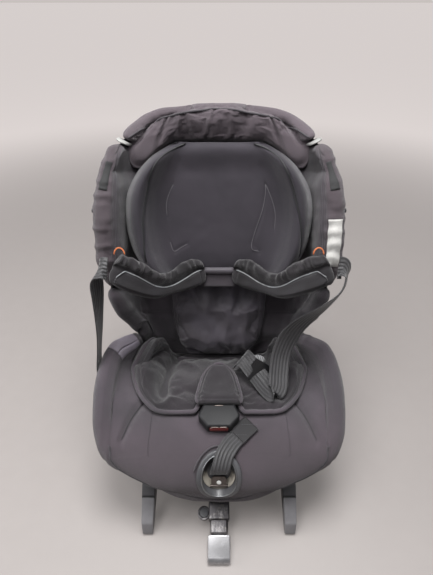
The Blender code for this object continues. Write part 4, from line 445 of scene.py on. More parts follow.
@functools.lru_cache(maxsize=None)
def satin(name="satin_lining", factor=1.0):
    """Shiny woven lining, used on the back pad, shoulder panels, neck roll, strap end and bolster patch."""
    colour = lighter(tuple(settings().cover_colour), factor)
    finish = Finish(name, 0.55, **{"Sheen Weight": 0.35, "Sheen Roughness": 0.35, "Specular IOR Level": 0.4})
    u, v = finish.node("SeparateXYZ", None, {0: finish.cloth}, (0, 1))
    turns = math.tau / (settings().weave_pitch * 0.7)
    weave = ((u + v) * turns).sine()
    worn = finish.noise(14, 4)
    base = finish.blend(lighter(colour, 1.1), lighter(colour, 1.7, (0.98, 1.0, 1.05)), worn.step(0.35, 0.7))
    finish.feed(Base_Color=base, Roughness=worn * 0.2 + 0.48)
    finish.bump(weave * 0.4 + finish.noise(900, 2) * 0.5, 0.0002, 0.6)
    return finish.material


@functools.lru_cache(maxsize=None)
def binding():
    """Piping and binding tape."""
    colour = tuple(settings().cover_colour)
    finish = Finish("binding_tape", 0.75, **{"Sheen Weight": 0.2, "Specular IOR Level": 0.3})
    grain = finish.noise(1100, 2)
    base = finish.blend(lighter(colour, 0.7), lighter(colour, 1.9), grain.step(0.35, 0.75))
    finish.feed(Base_Color=base, Roughness=finish.noise(60) * 0.2 + 0.62)
    finish.bump(grain, 0.0003, 0.8)
    return finish.material


@functools.lru_cache(maxsize=None)
def thread(name="seam_thread", colour=(0.075, 0.073, 0.078)):
    """Twisted sewing thread."""
    finish = Finish(name, 0.6)
    twist = finish.noise(2200, 1)
    finish.feed(Base_Color=finish.blend(lighter(colour, 0.7), lighter(colour, 1.4), twist.step(0.3, 0.7)),
                Roughness=twist * 0.2 + 0.5)
    finish.bump(twist, 0.0001, 0.6)
    return finish.material


def dark_thread():
    return thread("dark_thread", (0.008, 0.008, 0.009))


@functools.lru_cache(maxsize=None)
def reflective_piping():
    """Grey reflective piping, scuffed dark in places."""
    finish = Finish("reflective_piping", 0.42)
    grain = finish.noise(900, 3)
    scuff = finish.noise(55, 4, 0.7).step(0.5, 0.68)
    base = finish.blend((0.17, 0.18, 0.19), (0.33, 0.34, 0.35), grain.step(0.3, 0.8))
    finish.feed(Base_Color=finish.blend(base, (0.06, 0.06, 0.065), scuff * 0.8),
                Roughness=scuff * 0.3 + 0.35)
    finish.bump(grain, 0.00015, 0.5)
    return finish.material


@functools.lru_cache(maxsize=None)
def webbing():
    """Woven strap: ribs along it and fine cross threads."""
    colour = tuple(settings().webbing_colour)
    finish = Finish("webbing", 0.5, **{"Sheen Weight": 0.25, "Sheen Roughness": 0.35,
                                       "Specular IOR Level": 0.45})
    u, v = finish.node("SeparateXYZ", None, {0: finish.cloth}, (0, 1))
    ribs = (u * (math.tau / 0.0062)).sine()
    fine = (v * (math.tau / 0.0011) + (u * (math.tau / 0.0031)).sine() * 1.5).sine()
    worn = finish.noise(40, 3)
    base = finish.blend(lighter(colour, 0.7), lighter(colour, 1.7), ribs.step(-0.2, 0.9) * 0.6 + worn * 0.3)
    finish.feed(Base_Color=base, Roughness=worn * 0.25 + 0.34)
    finish.bump(ribs * 1.0 + fine * 0.25, 0.0004, 0.9)
    return finish.material


@functools.lru_cache(maxsize=None)
def reflective_webbing():
    """The small ribbed loop, paler and shinier than the straps."""
    finish = Finish("keeper_webbing", 0.4, **{"Specular IOR Level": 0.5})
    v = finish.node("SeparateXYZ", None, {0: finish.cloth}, 1)
    ribs = (v * (math.tau / 0.0036)).sine()
    finish.feed(Base_Color=finish.blend((0.05, 0.05, 0.052), (0.24, 0.24, 0.25), ribs.step(-0.4, 0.8)))
    finish.bump(ribs, 0.0006, 0.9)
    return finish.material


@functools.lru_cache(maxsize=None)
def plastic(name, colour, roughness=0.5, grain=0.6, scuffs=0.35):
    """Moulded plastic with a fine grain, dull patches and light scuffs on it."""
    finish = Finish(name, roughness, **{"Specular IOR Level": 0.4})
    spark = finish.noise(950, 2)
    patch = finish.noise(16, 4, 0.6)
    scratch = finish.noise(34, 5, 0.75, finish.node("Mapping", None, {0: finish.place, 3: (1, 9, 2.5)}))
    scuff = scratch.step(0.62, 0.72) * scuffs
    base = finish.blend(lighter(colour, 0.85), lighter(colour, 1.25), patch.step(0.3, 0.7))
    finish.feed(Base_Color=finish.blend(base, lighter(colour, 2.3), scuff),
                Roughness=patch * 0.22 + scuff * 0.25 + (roughness - 0.12))
    finish.bump(spark * grain + scratch * 0.3, 0.0002, 0.6)
    return finish.material


@functools.lru_cache(maxsize=None)
def metal(name, colour, roughness=0.32, wear=0.4, worn_colour=(0.05, 0.045, 0.04)):
    """Bare or coated metal, brushed along Y and stained where it has been rubbed."""
    finish = Finish(name, roughness, 1.0)
    brushed = finish.noise(60, 4, 0.7, finish.node("Mapping", None, {0: finish.place, 3: (14, 1, 14)}))
    stain = finish.noise(22, 5, 0.7).step(0.5, 0.66)
    base = finish.blend(lighter(colour, 0.8), lighter(colour, 1.15), brushed)
    finish.feed(Base_Color=finish.blend(base, worn_colour, stain * wear),
                Roughness=brushed * 0.2 + stain * 0.25 + (roughness - 0.1))
    finish.bump(brushed, 0.0001, 0.5)
    return finish.material


@functools.lru_cache(maxsize=None)
def scuffed_shaded_tube():
    """Dark coated tube with scuffs rubbed through to bright metal, more of them towards its lower end: the
    scuffs are wear, and the dark upper end under the seat is painted shadow.
    """
    finish = Finish("scuffed_shaded_tube", 0.4, 0.85)
    y = finish.node("SeparateXYZ", None, {0: finish.place}, 1)
    rub = finish.noise(55, 6, 0.72, finish.node("Mapping", None, {0: finish.place, 3: (1.4, 0.8, 1.4)}))
    # Painted shadow: the Y term keeps the tube's end under the seat dark, and the noise adds the real scuffs.
    bare_and_unshaded = (rub + (y * -5.0 - 1.25)).step(0.38, 0.62)
    base = finish.blend((0.050, 0.047, 0.050), (0.23, 0.22, 0.22), bare_and_unshaded)
    finish.feed(Base_Color=finish.blend(base, (0.12, 0.11, 0.10), finish.noise(140, 4).step(0.52, 0.7) * 0.5),
                Roughness=rub * 0.25 + 0.30)
    finish.bump(rub * 1.0 + bare_and_unshaded * -0.6, 0.0003, 0.6)
    return finish.material


@functools.lru_cache(maxsize=None)
def label_cloth(name, colour):
    """A plain woven patch with nothing on it."""
    finish = Finish(name, 0.8, **{"Sheen Weight": 0.1})
    u, v = finish.node("SeparateXYZ", None, {0: finish.cloth}, (0, 1))
    rows = (v * (math.tau / 0.0009)).sine() * 0.5 + (u * (math.tau / 0.0014)).sine() * 0.3
    grime = finish.noise(50, 4, 0.65)
    finish.feed(Base_Color=finish.blend(lighter(colour, 0.72), colour, grime.step(0.3, 0.65)),
                Roughness=grime * 0.2 + 0.66)
    finish.bump(rows, 0.0002, 0.6)
    return finish.material


@functools.lru_cache(maxsize=None)
def foot_plastic():
    """Dark moulding with a paler, rubbed upper face between a seam line and a rubber toe."""
    finish = Finish("foot_moulding", 0.45, **{"Specular IOR Level": 0.45})
    y = finish.node("SeparateXYZ", None, {0: finish.place}, 1)
    rub = finish.noise(45, 5, 0.65)
    face = (y + rub * 0.012).step(-0.254, -0.244) * (1 - y.step(-0.204, -0.200))
    line = y.step(-0.203, -0.2015) * (1 - y.step(-0.2000, -0.1985))
    base = finish.blend((0.052, 0.050, 0.054), (0.185, 0.180, 0.188), face * (rub * 0.5 + 0.5))
    finish.feed(Base_Color=finish.blend(base, (0.006, 0.006, 0.006), line),
                Roughness=rub * 0.25 + 0.32)
    finish.bump(finish.noise(950, 2) * 0.5 - line, 0.0004, 0.7)
    return finish.material


@functools.lru_cache(maxsize=None)
def dusty_plastic():
    """The adjuster's tray: dark, with pale dust gathered towards its lower end."""
    finish = Finish("dusty_tray", 0.8)
    along = finish.node("SeparateXYZ", None, {0: finish.cloth}, 1)
    dirt = finish.noise(120, 4, 0.7)
    dust = (dirt * 0.03 - along).step(0.008, 0.024)
    finish.feed(Base_Color=finish.blend((0.045, 0.045, 0.048), (0.36, 0.33, 0.28), dust),
                Roughness=dirt * 0.2 + 0.65)
    finish.bump(dirt, 0.0004, 0.6)
    return finish.material


def black_plastic():
    return plastic("black_moulding", tuple(settings().plastic_colour), 0.48)


def grey_plastic():
    return plastic("grey_moulding", (0.050, 0.050, 0.054), 0.5, 0.7, 0.45)


def pale_plastic():
    return plastic("pale_moulding", (0.27, 0.27, 0.26), 0.5, 0.4, 0.25)


def rubber():
    return plastic("rubber", (0.018, 0.018, 0.018), 0.8, 1.0, 0.2)


def rail_steel():
    return metal("rail_steel", (0.5, 0.5, 0.51), 0.28)


def dark_steel():
    return metal("dark_steel", (0.12, 0.12, 0.13), 0.42)


# Making pieces
def place_piece(name, drawing, material, body, replaces=()):
    """Turns a drawing into a piece, and says what it rides on, stands for and is made of."""
    mesh = bpy.data.meshes.new(name)
    drawing.to_mesh(mesh)
    drawing.free()
    mesh.shade_smooth()
    mesh.materials.append(material)
    piece = bpy.data.objects.new(name, mesh)
    bpy.context.scene.collection.objects.link(piece)
    if body:
        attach(piece, body)
    if replaces:
        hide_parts(*replaces)
    return piece


PUFF_FRAMES = 20


def puff(piece, cap, pressure, spare):
    """Lets a pad's cloth swell between its seams. Spare cloth folds, and no point moves past the cap."""
    mesh = piece.data
    held = np.zeros(len(mesh.vertices), dtype=np.float32)
    mesh.attributes["hold"].data.foreach_get("value", held)
    mesh.attributes.remove(mesh.attributes["hold"])
    sewn = piece.vertex_groups.new(name="sewn")
    sewn.add([int(index) for index in np.flatnonzero(held > 0.5)], 1.0, "REPLACE")
    before, normals = np.zeros((2, len(mesh.vertices), 3), dtype=np.float32)
    mesh.vertices.foreach_get("co", before.ravel())
    mesh.vertices.foreach_get("normal", normals.ravel())
    cloth = piece.modifiers.new("puff", "CLOTH")
    values = cloth.settings
    values.quality = 6
    values.mass = 0.2
    values.bending_stiffness = 0.15
    values.use_pressure = True
    values.uniform_pressure_force = pressure
    values.shrink_min = -spare
    values.vertex_group_mass = "sewn"
    values.effector_weights.gravity = 0
    cloth.collision_settings.use_collision = False
    cloth.point_cache.frame_end = PUFF_FRAMES
    for number in range(1, PUFF_FRAMES + 1):
        bpy.context.scene.frame_set(number)
    shape = piece.evaluated_get(bpy.context.evaluated_depsgraph_get())
    move = np.zeros_like(before)
    shape.to_mesh().vertices.foreach_get("co", move.ravel())
    shape.to_mesh_clear()
    move = np.nan_to_num(move - before)
    piece.modifiers.remove(cloth)
    piece.vertex_groups.remove(sewn)
    bpy.context.scene.frame_set(1)
    inward = np.minimum((move * normals).sum(axis=1, keepdims=True) + cap / 3, 0)
    move -= normals * inward
    length = np.linalg.norm(move, axis=1, keepdims=True)
    move *= np.minimum(1, cap / np.maximum(length, 1e-9))
    mesh.vertices.foreach_set("co", (before + move).ravel())
    mesh.update()


def arc_lengths(points, axis):
    """Distance along one way of a grid of points, from its middle."""
    steps = np.linalg.norm(np.diff(points, axis=axis), axis=2)
    sums = np.cumsum(steps, axis=axis)
    shape = list(points.shape[:2])
    shape[axis] = 1
    sums = np.concatenate([np.zeros(shape), sums], axis=axis)
    middle = np.take(sums, [sums.shape[axis] // 2], axis=axis)
    return sums - middle


def draw_grid(rows, columns, top, bottom=None, fade=None, hold=None):
    """A cloth surface over rows and columns; with a bottom it becomes a closed body with sewn edges.
    Its UV map is the distance across and along the cloth, in metres."""
    high, wide = len(rows), len(columns)
    drawing = bmesh.new()
    bmesh.ops.create_grid(drawing, x_segments=wide - 1, y_segments=high - 1, size=1)
    place = drawing.verts.layers.int.new("place")
    order = sorted(drawing.verts, key=lambda vert: (round(vert.co.y, 5), vert.co.x))
    for index, vert in enumerate(order):
        vert[place] = index
    layers = [np.array([[top(row, column) for column in columns] for row in rows])]
    if bottom:
        double = bmesh.ops.duplicate(drawing, geom=drawing.verts[:] + drawing.edges[:] + drawing.faces[:])
        under = [item for item in double["geom"] if isinstance(item, bmesh.types.BMVert)]
        below = [item for item in double["geom"] if isinstance(item, bmesh.types.BMFace)]
        bmesh.ops.translate(drawing, verts=under, vec=(0, 0, -1))
        bmesh.ops.reverse_faces(drawing, faces=below)
        for vert in under:
            vert[place] += high * wide
        rims = [edge for edge in drawing.edges if edge.is_boundary]
        bmesh.ops.bridge_loops(drawing, edges=rims)
        layers.append(np.array([[bottom(row, column) for column in columns] for row in rows]))
    points = np.concatenate([layer.reshape(-1, 3) for layer in layers])
    across = np.concatenate([arc_lengths(layer, 1).ravel() for layer in layers])
    along = np.concatenate([arc_lengths(layer, 0).ravel() for layer in layers])
    worn = drawing.verts.layers.float.new("fade") if fade else None
    sewn = drawing.verts.layers.float.new("hold") if hold else None
    for vert in drawing.verts:
        index = vert[place]
        vert.co = points[index]
        if sewn:
            row, column = divmod(index, wide)
            vert[sewn] = row >= high or hold(rows[row], columns[column])
        if worn:
            row, column = divmod(index % (high * wide), wide)
            vert[worn] = fade(rows[row], columns[column])
    chart = drawing.loops.layers.uv.new("cloth")
    for face in drawing.faces:
        for loop in face.loops:
            index = loop.vert[place]
            loop[chart].uv = (across[index], along[index])
    drawing.verts.layers.int.remove(place)
    bmesh.ops.recalc_face_normals(drawing, faces=drawing.faces)
    return drawing


def draw_tube(points, radius, sides=8, closed=False):
    """A tube along a path, swept from a circle, with narrowed ends."""
    drawing = bmesh.new()
    path = [Vector(point) for point in points]
    rings = []
    normal = None
    for index, point in enumerate(path):
        before = path[index - 1] if index or closed else path[0]
        after = path[(index + 1) % len(path)] if index + 1 < len(path) or closed else path[-1]
        ahead = (after - before).normalized()
        if normal is None:
            normal = ahead.orthogonal().normalized()
        normal = (normal - ahead * normal.dot(ahead)).normalized()
        turn = Matrix((normal, ahead.cross(normal), ahead)).transposed().to_4x4()
        scale = 0.55 if not closed and index in (0, len(path) - 1) else 1.0
        ring = bmesh.ops.create_circle(drawing, segments=sides, radius=radius * scale,
                                       matrix=Matrix.Translation(point) @ turn)["verts"]
        rings.append(ring)
    if closed:
        rings.append(rings[0])
    for one, two in zip(rings, rings[1:]):
        edges = [drawing.edges.get((ring[side], ring[(side + 1) % sides])) for ring in (one, two)
                 for side in range(sides)]
        bmesh.ops.bridge_loops(drawing, edges=edges)
    if not closed:
        bmesh.ops.holes_fill(drawing, edges=[edge for edge in drawing.edges if edge.is_boundary])
    bmesh.ops.recalc_face_normals(drawing, faces=drawing.faces)
    return drawing


def resample(points, step):
    """Even steps along a path."""
    path = np.array([tuple(point) for point in points])
    runs = np.linalg.norm(np.diff(path, axis=0), axis=1)
    far = np.concatenate([[0], np.cumsum(runs)])
    count = max(int(far[-1] / step), 1)
    at = np.linspace(0, far[-1], count + 1)
    return [Vector([np.interp(place, far, path[:, axis]) for axis in range(3)]) for place in at]


def add_piping(name, points, body, material=None, radius=None, sides=8):
    """Round piping along a path."""
    radius = radius or settings().piping_radius
    return place_piece(name, draw_tube(resample(points, 0.004), radius, sides), material or binding(), body)


STITCH_RADIUS, STITCH_SHARE = 0.00042, 0.68


def add_stitches(name, points, body, material=None):
    """A row of short stitches along a path."""
    drawing = bmesh.new()
    path = resample(points, settings().stitch_pitch)
    for one, two in zip(path, path[1:]):
        run = two - one
        if run.length < 1e-6:
            continue
        turn = Vector((0, 0, 1)).rotation_difference(run).to_matrix().to_4x4()
        bmesh.ops.create_cone(drawing, cap_ends=True, segments=5, radius1=STITCH_RADIUS,
                              radius2=STITCH_RADIUS, depth=run.length * STITCH_SHARE,
                              matrix=Matrix.Translation((one + two) / 2) @ turn)
    return place_piece(name, drawing, material or thread(), body)


def softened(name, node, material, edge=0.0012, segments=2, angle=28, clear=0.0):
    """A finer stand-in for a moulded node: its own shape with rounded edges, drawn in where it needs room."""
    source = frame["nodes"][node]
    drawing = bmesh.new()
    drawing.from_mesh(source.data)
    bmesh.ops.remove_doubles(drawing, verts=drawing.verts, dist=1e-5)
    bmesh.ops.dissolve_limit(drawing, angle_limit=math.radians(1.5), verts=drawing.verts, edges=drawing.edges)
    sharp = [line for line in drawing.edges
             if len(line.link_faces) == 2 and line.calc_face_angle(0) > math.radians(angle)]
    bmesh.ops.bevel(drawing, geom=sharp, offset=edge, segments=segments, profile=0.5, affect="EDGES",
                    material=-1, clamp_overlap=True)
    drawing.normal_update()
    for corner in drawing.verts:
        corner.co -= corner.normal * clear
    piece = place_piece(name, drawing, material, source["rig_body"], (node,))
    piece.data.set_sharp_from_angle(angle=math.radians(40))
    return piece


def add_round(name, place, axis, radius, depth, material, body):
    """A small round piece such as a rivet, peg or screw head, with a bevelled face."""
    drawing = bmesh.new()
    turn = Vector((0, 0, 1)).rotation_difference(axis).to_matrix().to_4x4()
    bmesh.ops.create_cone(drawing, cap_ends=True, segments=20, radius1=radius, radius2=radius, depth=depth,
                          matrix=Matrix.Translation(place) @ turn)
    rims = [line for line in drawing.edges if line.calc_face_angle(0) > 1]
    bmesh.ops.bevel(drawing, geom=rims, offset=min(radius, depth) * 0.25, segments=3, profile=0.5,
                    affect="EDGES", material=-1)
    piece = place_piece(name, drawing, material, body)
    piece.data.set_sharp_from_angle(angle=math.radians(50))
    return piece


def dress(node, material):
    """Gives a node that shows as it is its material."""
    mesh = frame["nodes"][node].data
    mesh.materials.clear()
    mesh.materials.append(material)


# Covers
SKIRT_ROWS, SKIRT_DROP = 0.75, 0.032
SEAT_END, BACK_START, BACK_END = 8, 8.1, 11.9


def seam_turn(row):
    """Where the front panel of the seat cover meets its bolsters."""
    return between(((2.9, 57), (3.1, 53), (3.4, 48.5), (3.9, 42), (4.35, 37), (5, 33)), row)


def dart_turn(row):
    """Where the darts of the front panel run."""
    return between(((2.5, 39), (3.2, 35), (4.2, 32)), row)


def hem_row(side):
    """Where the piped hem of the front runs."""
    return between(((0, -0.22), (15, -0.18), (30, 0.05), (42, 0.55), (56, 1.15), (68, 1.5), (78, 2.15),
                    (90, 2.6), (100, 2.75)), side)


def cover_thickness(row, turn):
    """The seat and back covers' thickness: full inside, thin at the hem, the crease and the ends."""
    wrap = abs(turn) - RIM
    seat = row <= SEAT_END
    middle = mix(0.025, 0.020, ramp(abs(turn), 30, 75))
    body = mix(mix(middle, 0.014, ramp(wrap, -15, ROUND)), 0.005, ramp(wrap, ROUND / 2, HEM_END))
    body -= 0.0026 * dip(abs(turn), 122 if seat else 45, 9) * ramp(row, 1, 3)
    crease = ramp(abs(row - CREASE_ROW), -0.2, 2.0)
    full = ramp(row, -0.6, 1.2) * crease * ramp(BACK_END - row, -0.4, 0.8)
    return mix(min(0.009, body), body, full)


def edge_fall(row, first, last, turn=0.0):
    """Rounds a pad down to its floor at its first and last rows and at its hem."""
    ends = rounded((row - first) * ROW_LENGTH, 0.007) * rounded((last - row) * ROW_LENGTH, 0.007)
    return ends * rounded((RIM + HEM_END - abs(turn)) * 0.0004 + 0.0006, 0.004)


def adjuster_pitch():
    """The length of one row at the adjuster."""
    return (over_shell(2, 0, 0.025) - over_shell(1, 0, 0.025)).length


def adjuster_place(across, along, lift):
    """A place by its distance across and along from the adjuster's middle."""
    row = ADJUSTER_ROW + along / adjuster_pitch()
    return over_shell(row, math.degrees(math.asin(across / (station(row)[2] * HALF_WIDTH))), lift)


def adjuster_reach(row, turn):
    """How far from the adjuster's middle a place is: 1 on the bezel's outer edge."""
    across = HALF_WIDTH * station(row)[2] * math.sin(math.radians(turn))
    return math.hypot(across / BEZEL_WIDE, (row - ADJUSTER_ROW) * adjuster_pitch() / BEZEL_HIGH)


def seat_cover_lift(row, turn):
    """The seat cover's height over the shell, with its seams, darts, hem, gathers and folds."""
    lift = max(cover_thickness(row, turn), 0.021 * (1 - ramp(abs(turn), 20, 90)))
    lift *= edge_fall(row, -SKIRT_ROWS, SEAT_END, turn)
    place = shell_point(row, min(max(turn, -RIM), RIM))
    fold = settings().fold_depth
    side = abs(turn)
    seam = bell(side - seam_turn(row), 2.6) * ramp(row, 2.6, 3.2)
    lift -= 0.0062 * seam
    near = bell(side - seam_turn(row), 9) * ramp(row, 2.6, 3.2)
    lift += 0.0030 * near * ramp(side, seam_turn(row) - 1, seam_turn(row) + 6) - 0.0014 * near
    lift += fold * 0.35 * near * ripple((row * 0.9, turn * 0.02, 0), 0.16, 3)
    dart = bell(side - dart_turn(row), 1.8)
    lift -= 0.0009 * dart * ramp(row, 2.3, 2.9) * (1 if turn > 0 else 0.5)
    hem = row - hem_row(side)
    lift -= (0.0030 * bell(hem, 0.06) + 0.0018 * ramp(-hem, 0, 0.1)) * (1 - ramp(side, 92, 104))
    lift += 0.0011 * ripple(place, 0.055, 5) + 0.0007 * ripple(place, 0.02, 9)
    gather = ramp(side, 200, 300) + 0.5 * ramp(0.3 - row, 0, 0.6)
    lift += 0.0011 * gather * math.sin(row * 47 + 3 * ripple(place, 0.05, 2))
    slack = dip(row, 7.0, 1.6) * ramp(side, 20, 45)
    lift += fold * 0.7 * slack * crumple(place, 0.028, 4)
    if side < 20 and row < 4:
        lift = mix(0.0004, lift, ramp(adjuster_reach(row, turn), 0.86, 0.97))
    return SEAT + max(lift, 0.0004)


def used_fade(row, turn):
    """Where the front of the seat and the outside of the wings have faded brown."""
    return ramp(4.4 - row, 0, 2.2) * 0.6 + ramp(row, 11.8, 12.4) * ramp(abs(turn), 118, 150)


def skirt(row, turn, lift):
    """The cover's front hangs a little below the shell: rows below 0 reach straight down."""
    place = over_shell(max(row, 0), turn, lift)
    if row < 0:
        side = abs(turn)
        share = row / SKIRT_ROWS
        place = place + shell_axes(0, 0)[1] * SKIRT_DROP * share * (1 - 0.4 * ramp(side, 10, 110))
        place.x *= 1 - 0.2 * share * ramp(side, 10, 70)
    return place


def on_cover(row, turn, extra=0.0):
    """A place on the seat cover's outside."""
    return skirt(row, turn, seat_cover_lift(row, turn) + extra)


def seat_columns():
    """Turns of the seat cover's grid, closest at its seams and round the adjuster."""
    inner = spread(-90, -66, 3)[:-1] + spread(-66, -30, 1.5)[:-1] + spread(-30, 30, 3)[:-1]
    inner += spread(30, 66, 1.5)[:-1] + spread(66, 90, 3)
    inner = [turn for turn in inner if abs(turn) > 15] + spread(-15, 15, 1.2)
    inner.sort()
    past = spread(RIM + 10, RIM + HEM_END, 12)
    return [-turn for turn in reversed(past)] + inner + past


def floor_of(row, turn):
    """Where a cover lies on the shell."""
    return over_shell(row, turn, SEAT)


def make_seat_cover():
    rows = spread(-SKIRT_ROWS, 0.4, 0.06)[:-1] + spread(0.4, 7.7, 0.08)[:-1] + spread(7.7, SEAT_END, 0.05)
    drawing = draw_grid(rows, seat_columns(), on_cover,
                        lambda row, turn: skirt(row, turn, SEAT * 0.5), used_fade)
    cover = place_piece("seat_cover_cloth", drawing, cover_cloth("seat_cloth", 1.2), "seat", ("seat_cover",))
    hem = [on_cover(hem_row(abs(turn)), turn, 0.0012) for turn in spread(-104, 104, 2)]
    add_piping("seat_cover_hem_piping", hem, "seat", radius=0.0021)
    hem = [on_cover(hem_row(abs(turn)) + 0.2, turn, 0.0003) for turn in spread(-100, 100, 2)]
    add_stitches("seat_cover_hem_stitches", hem, "seat")
    for side, word in SIDES:
        seam = [on_cover(row, side * seam_turn(row), 0.0006) for row in spread(2.95, 4.7, 0.08)]
        add_piping("seat_cover_seam_" + word, seam, "seat", dark_thread(), 0.0011, 6)
        dart = [on_cover(row, side * dart_turn(row), 0.0003) for row in spread(2.4, 4.1, 0.08)]
        add_stitches("seat_cover_dart_" + word, dart, "seat", dark_thread())
    # Partly painted highlight: a sewn satin patch on the left bolster's top, made several times lighter than
    # the cover for the light that falls on it.
    low, inner = 5.75, -86
    patch = draw_grid(spread(low, 7.5, 0.1), spread(-196, inner, 1.5),
                      lambda row, turn: on_cover(row, turn, 0.0011 + 0.0005 * math.sin(turn * 0.9)),
                      lambda row, turn: on_cover(row, turn, -0.0006))
    place_piece("bolster_satin_patch", patch, satin("bolster_satin", 4.0), "seat")
    edge = [on_cover(low, turn, 0.0012) for turn in spread(-190, inner, 4)]
    edge += [on_cover(row, inner, 0.0010) for row in spread(low, 7.4, 0.1)]
    add_stitches("bolster_patch_stitches", edge, "seat")


def back_cover_lift(row, turn):
    """The back cover's height over the shell, with its folds and puckers."""
    lift = cover_thickness(row, turn) * edge_fall(row, BACK_START, BACK_END, turn)
    place = shell_point(row, min(max(turn, -RIM), RIM))
    fold = settings().fold_depth
    lift += fold * 1.5 * crumple(place, 0.045, 11) * ramp(abs(turn), 24, 40) * (1 - ramp(abs(turn), 120, 200))
    pucker = dip(abs(turn), 33, 12) * (1 - ramp(row, 9.3, 10.2))
    lift += fold * 1.1 * pucker * ripple(place, 0.009, 14) + 0.0017 * ripple(place, 0.03, 6)
    channel = bell(row - 10.55, 0.08) * ramp(abs(turn), 30, 36) * (1 - ramp(abs(turn), 66, 80))
    lift -= 0.004 * channel
    return SEAT + max(lift, 0.001)


def make_back_cover():
    rows = spread(BACK_START, 8.4, 0.05)[:-1] + spread(8.4, 11.6, 0.07)[:-1] + spread(11.6, BACK_END, 0.05)
    drawing = draw_grid(rows, wrap_turns(2.5),
                        lambda row, turn: over_shell(row, turn, back_cover_lift(row, turn)),
                        floor_of, used_fade)
    cover = place_piece("back_cover_cloth", drawing, cover_cloth(), "seat", ("back_cover",))


INSERT_END, CLEARANCE = len(INSERT_OUTLINE) - 1, 0.0006


def insert_place(step, share):
    """Row and turn on the seat insert, by its place along its outline and its share of the width."""
    row, limit = smooth_place(INSERT_OUTLINE, step)
    turn = limit * share
    row += (1 - step / INSERT_END) ** 3 * (1 - ramp(abs(turn), 4.3, 13))
    return row, turn


def insert_inside(step, share):
    """About how far in from the insert's edge a place is."""
    limit = smooth_place(INSERT_OUTLINE, step)[1]
    return min((1 - abs(share)) * limit * DEGREE_LENGTH, step * 0.0075 + 0.001,
               (INSERT_END - step) * 0.009 + 0.001)


def insert_base(row, turn):
    """The insert lies on the seat cover; the backs of its lobes stand a little clear of the crease."""
    side = abs(turn)
    return SEAT + mix(cover_thickness(row, turn), cover_thickness(min(row, 7), turn), ramp(side, 30, 42))


def lobe_rise(row, turn):
    """The backs of the lobes stand up from the seat."""
    return Vector((0, 0, ramp(row, 6.0, 7.8) * ramp(abs(turn), 32, 48)))


def insert_floor(step, share):
    """A place on the seat insert's underside."""
    row, turn = insert_place(step, share)
    return over_shell(row, turn, insert_base(row, turn) + CLEARANCE) + lobe_rise(row, turn) * 0.028


def insert_hold(step, share):
    """The insert's cloth is held at its border and in the creases beside its lobes."""
    row, turn = insert_place(step, share)
    return insert_inside(step, share) < 0.0105 or abs(abs(turn) - 28) < 1.4 and row > 4.2


def insert_top(step, share, extra=0.0):
    """A place on the seat insert's outside, with its lobes, sewn border and folds."""
    row, turn = insert_place(step, share)
    fold = settings().fold_depth
    side = abs(turn)
    lobe = ramp(side, 27, 41) * ramp(row, 4.0, 5.2)
    tall = ramp(row, 5.6, 7.8) * ramp(side, 30, 44)
    body = 0.0135 + 0.019 * lobe + 0.011 * tall
    body -= 0.0150 * bell(side - 28.5, 3.2) * ramp(row, 3.9, 4.6)
    inside = insert_inside(step, share)
    full = rounded(inside, 0.022)
    place = shell_point(row, turn)
    lift = mix(0.0070 + 0.006 * tall, body, full)
    lift -= 0.0044 * bell(inside - 0.0085, 0.0021)
    lift += fold * 1.6 * crumple(place, 0.044, 21) * full * (1 - ramp(side, 24, 34))
    pucker = dip(side, 29, 9) * ramp(row, 5.6, 7.0)
    lift += fold * 0.9 * pucker * ripple(place, 0.011, 8) + 0.0009 * ripple(place, 0.03, 2)
    place = over_shell(row, turn, insert_base(row, turn) + 0.0013 + max(lift, 0.0012) + extra)
    return place + lobe_rise(row, turn) * mix(0.036, 0.054, full)


def make_insert():
    drawing = draw_grid(spread(0, INSERT_END, 0.11), spread(-1, 1, 0.018), insert_top, insert_floor,
                        hold=insert_hold)
    insert = place_piece("seat_insert_cloth", drawing, cover_cloth("insert_cloth", 0.47), "seat",
                         ("seat_insert",))
    puff(insert, 0.006, 3.0, 0.05)
    edge = [(step, -1) for step in spread(INSERT_END, 0, 0.15)]
    edge += [(0, share) for share in spread(-1, 1, 0.03)[1:-1]]
    edge += [(step, 1) for step in spread(0, INSERT_END, 0.15)]
    border = [insert_top(step, share, 0.0008) for step, share in edge]
    add_piping("seat_insert_piping", border, "seat", cover_cloth("piping_cloth", 1.2), 0.0043)
    for inset, kind in ((0.0085, "inner"), (0.0052, "outer")):
        for side, word in SIDES:
            line = []
            for step in spread(8.6, 0.5, 0.12)[::-side]:
                limit = smooth_place(INSERT_OUTLINE, step)[1]
                line.append(insert_top(step, side * (1 - inset / (limit * DEGREE_LENGTH)), 0.0003))
            add_stitches("seat_insert_stitches_%s_%s" % (kind, word), line, "seat")


BACK_PAD_END = len(BACK_PAD_OUTLINE) - 1


def back_pad_point(step, share, high=True):
    """A place on the back pad's wrinkled top or, where high is False, on its flat floor."""
    row, limit = smooth_place(BACK_PAD_OUTLINE, step)
    turn = limit * share
    floor = SEAT + cover_thickness(row, turn) + CLEARANCE
    if not high:
        return over_shell(row, turn, floor)
    place = shell_point(row, turn)
    fold = settings().fold_depth
    inside = min((1 - abs(share)) * limit * DEGREE_LENGTH, step * 0.012 + 0.001,
                 (BACK_PAD_END - step) * 0.010 + 0.001)
    full = rounded(inside, 0.024)
    lift = mix(0.003, 0.022, full) - 0.003 * dip(row, 10.2, 0.6)
    slant = (place.x + place.z * 0.5, place.y, place.z * 0.8 - place.x * 0.4)
    lift += fold * (3.0 * crumple(slant, 0.060, 31) + 0.5 * ripple(place, 0.016, 12)) * full
    lift -= 0.002 * bell(inside - 0.006, 0.0016)
    return over_shell(row, turn, floor + max(lift, 0.001))


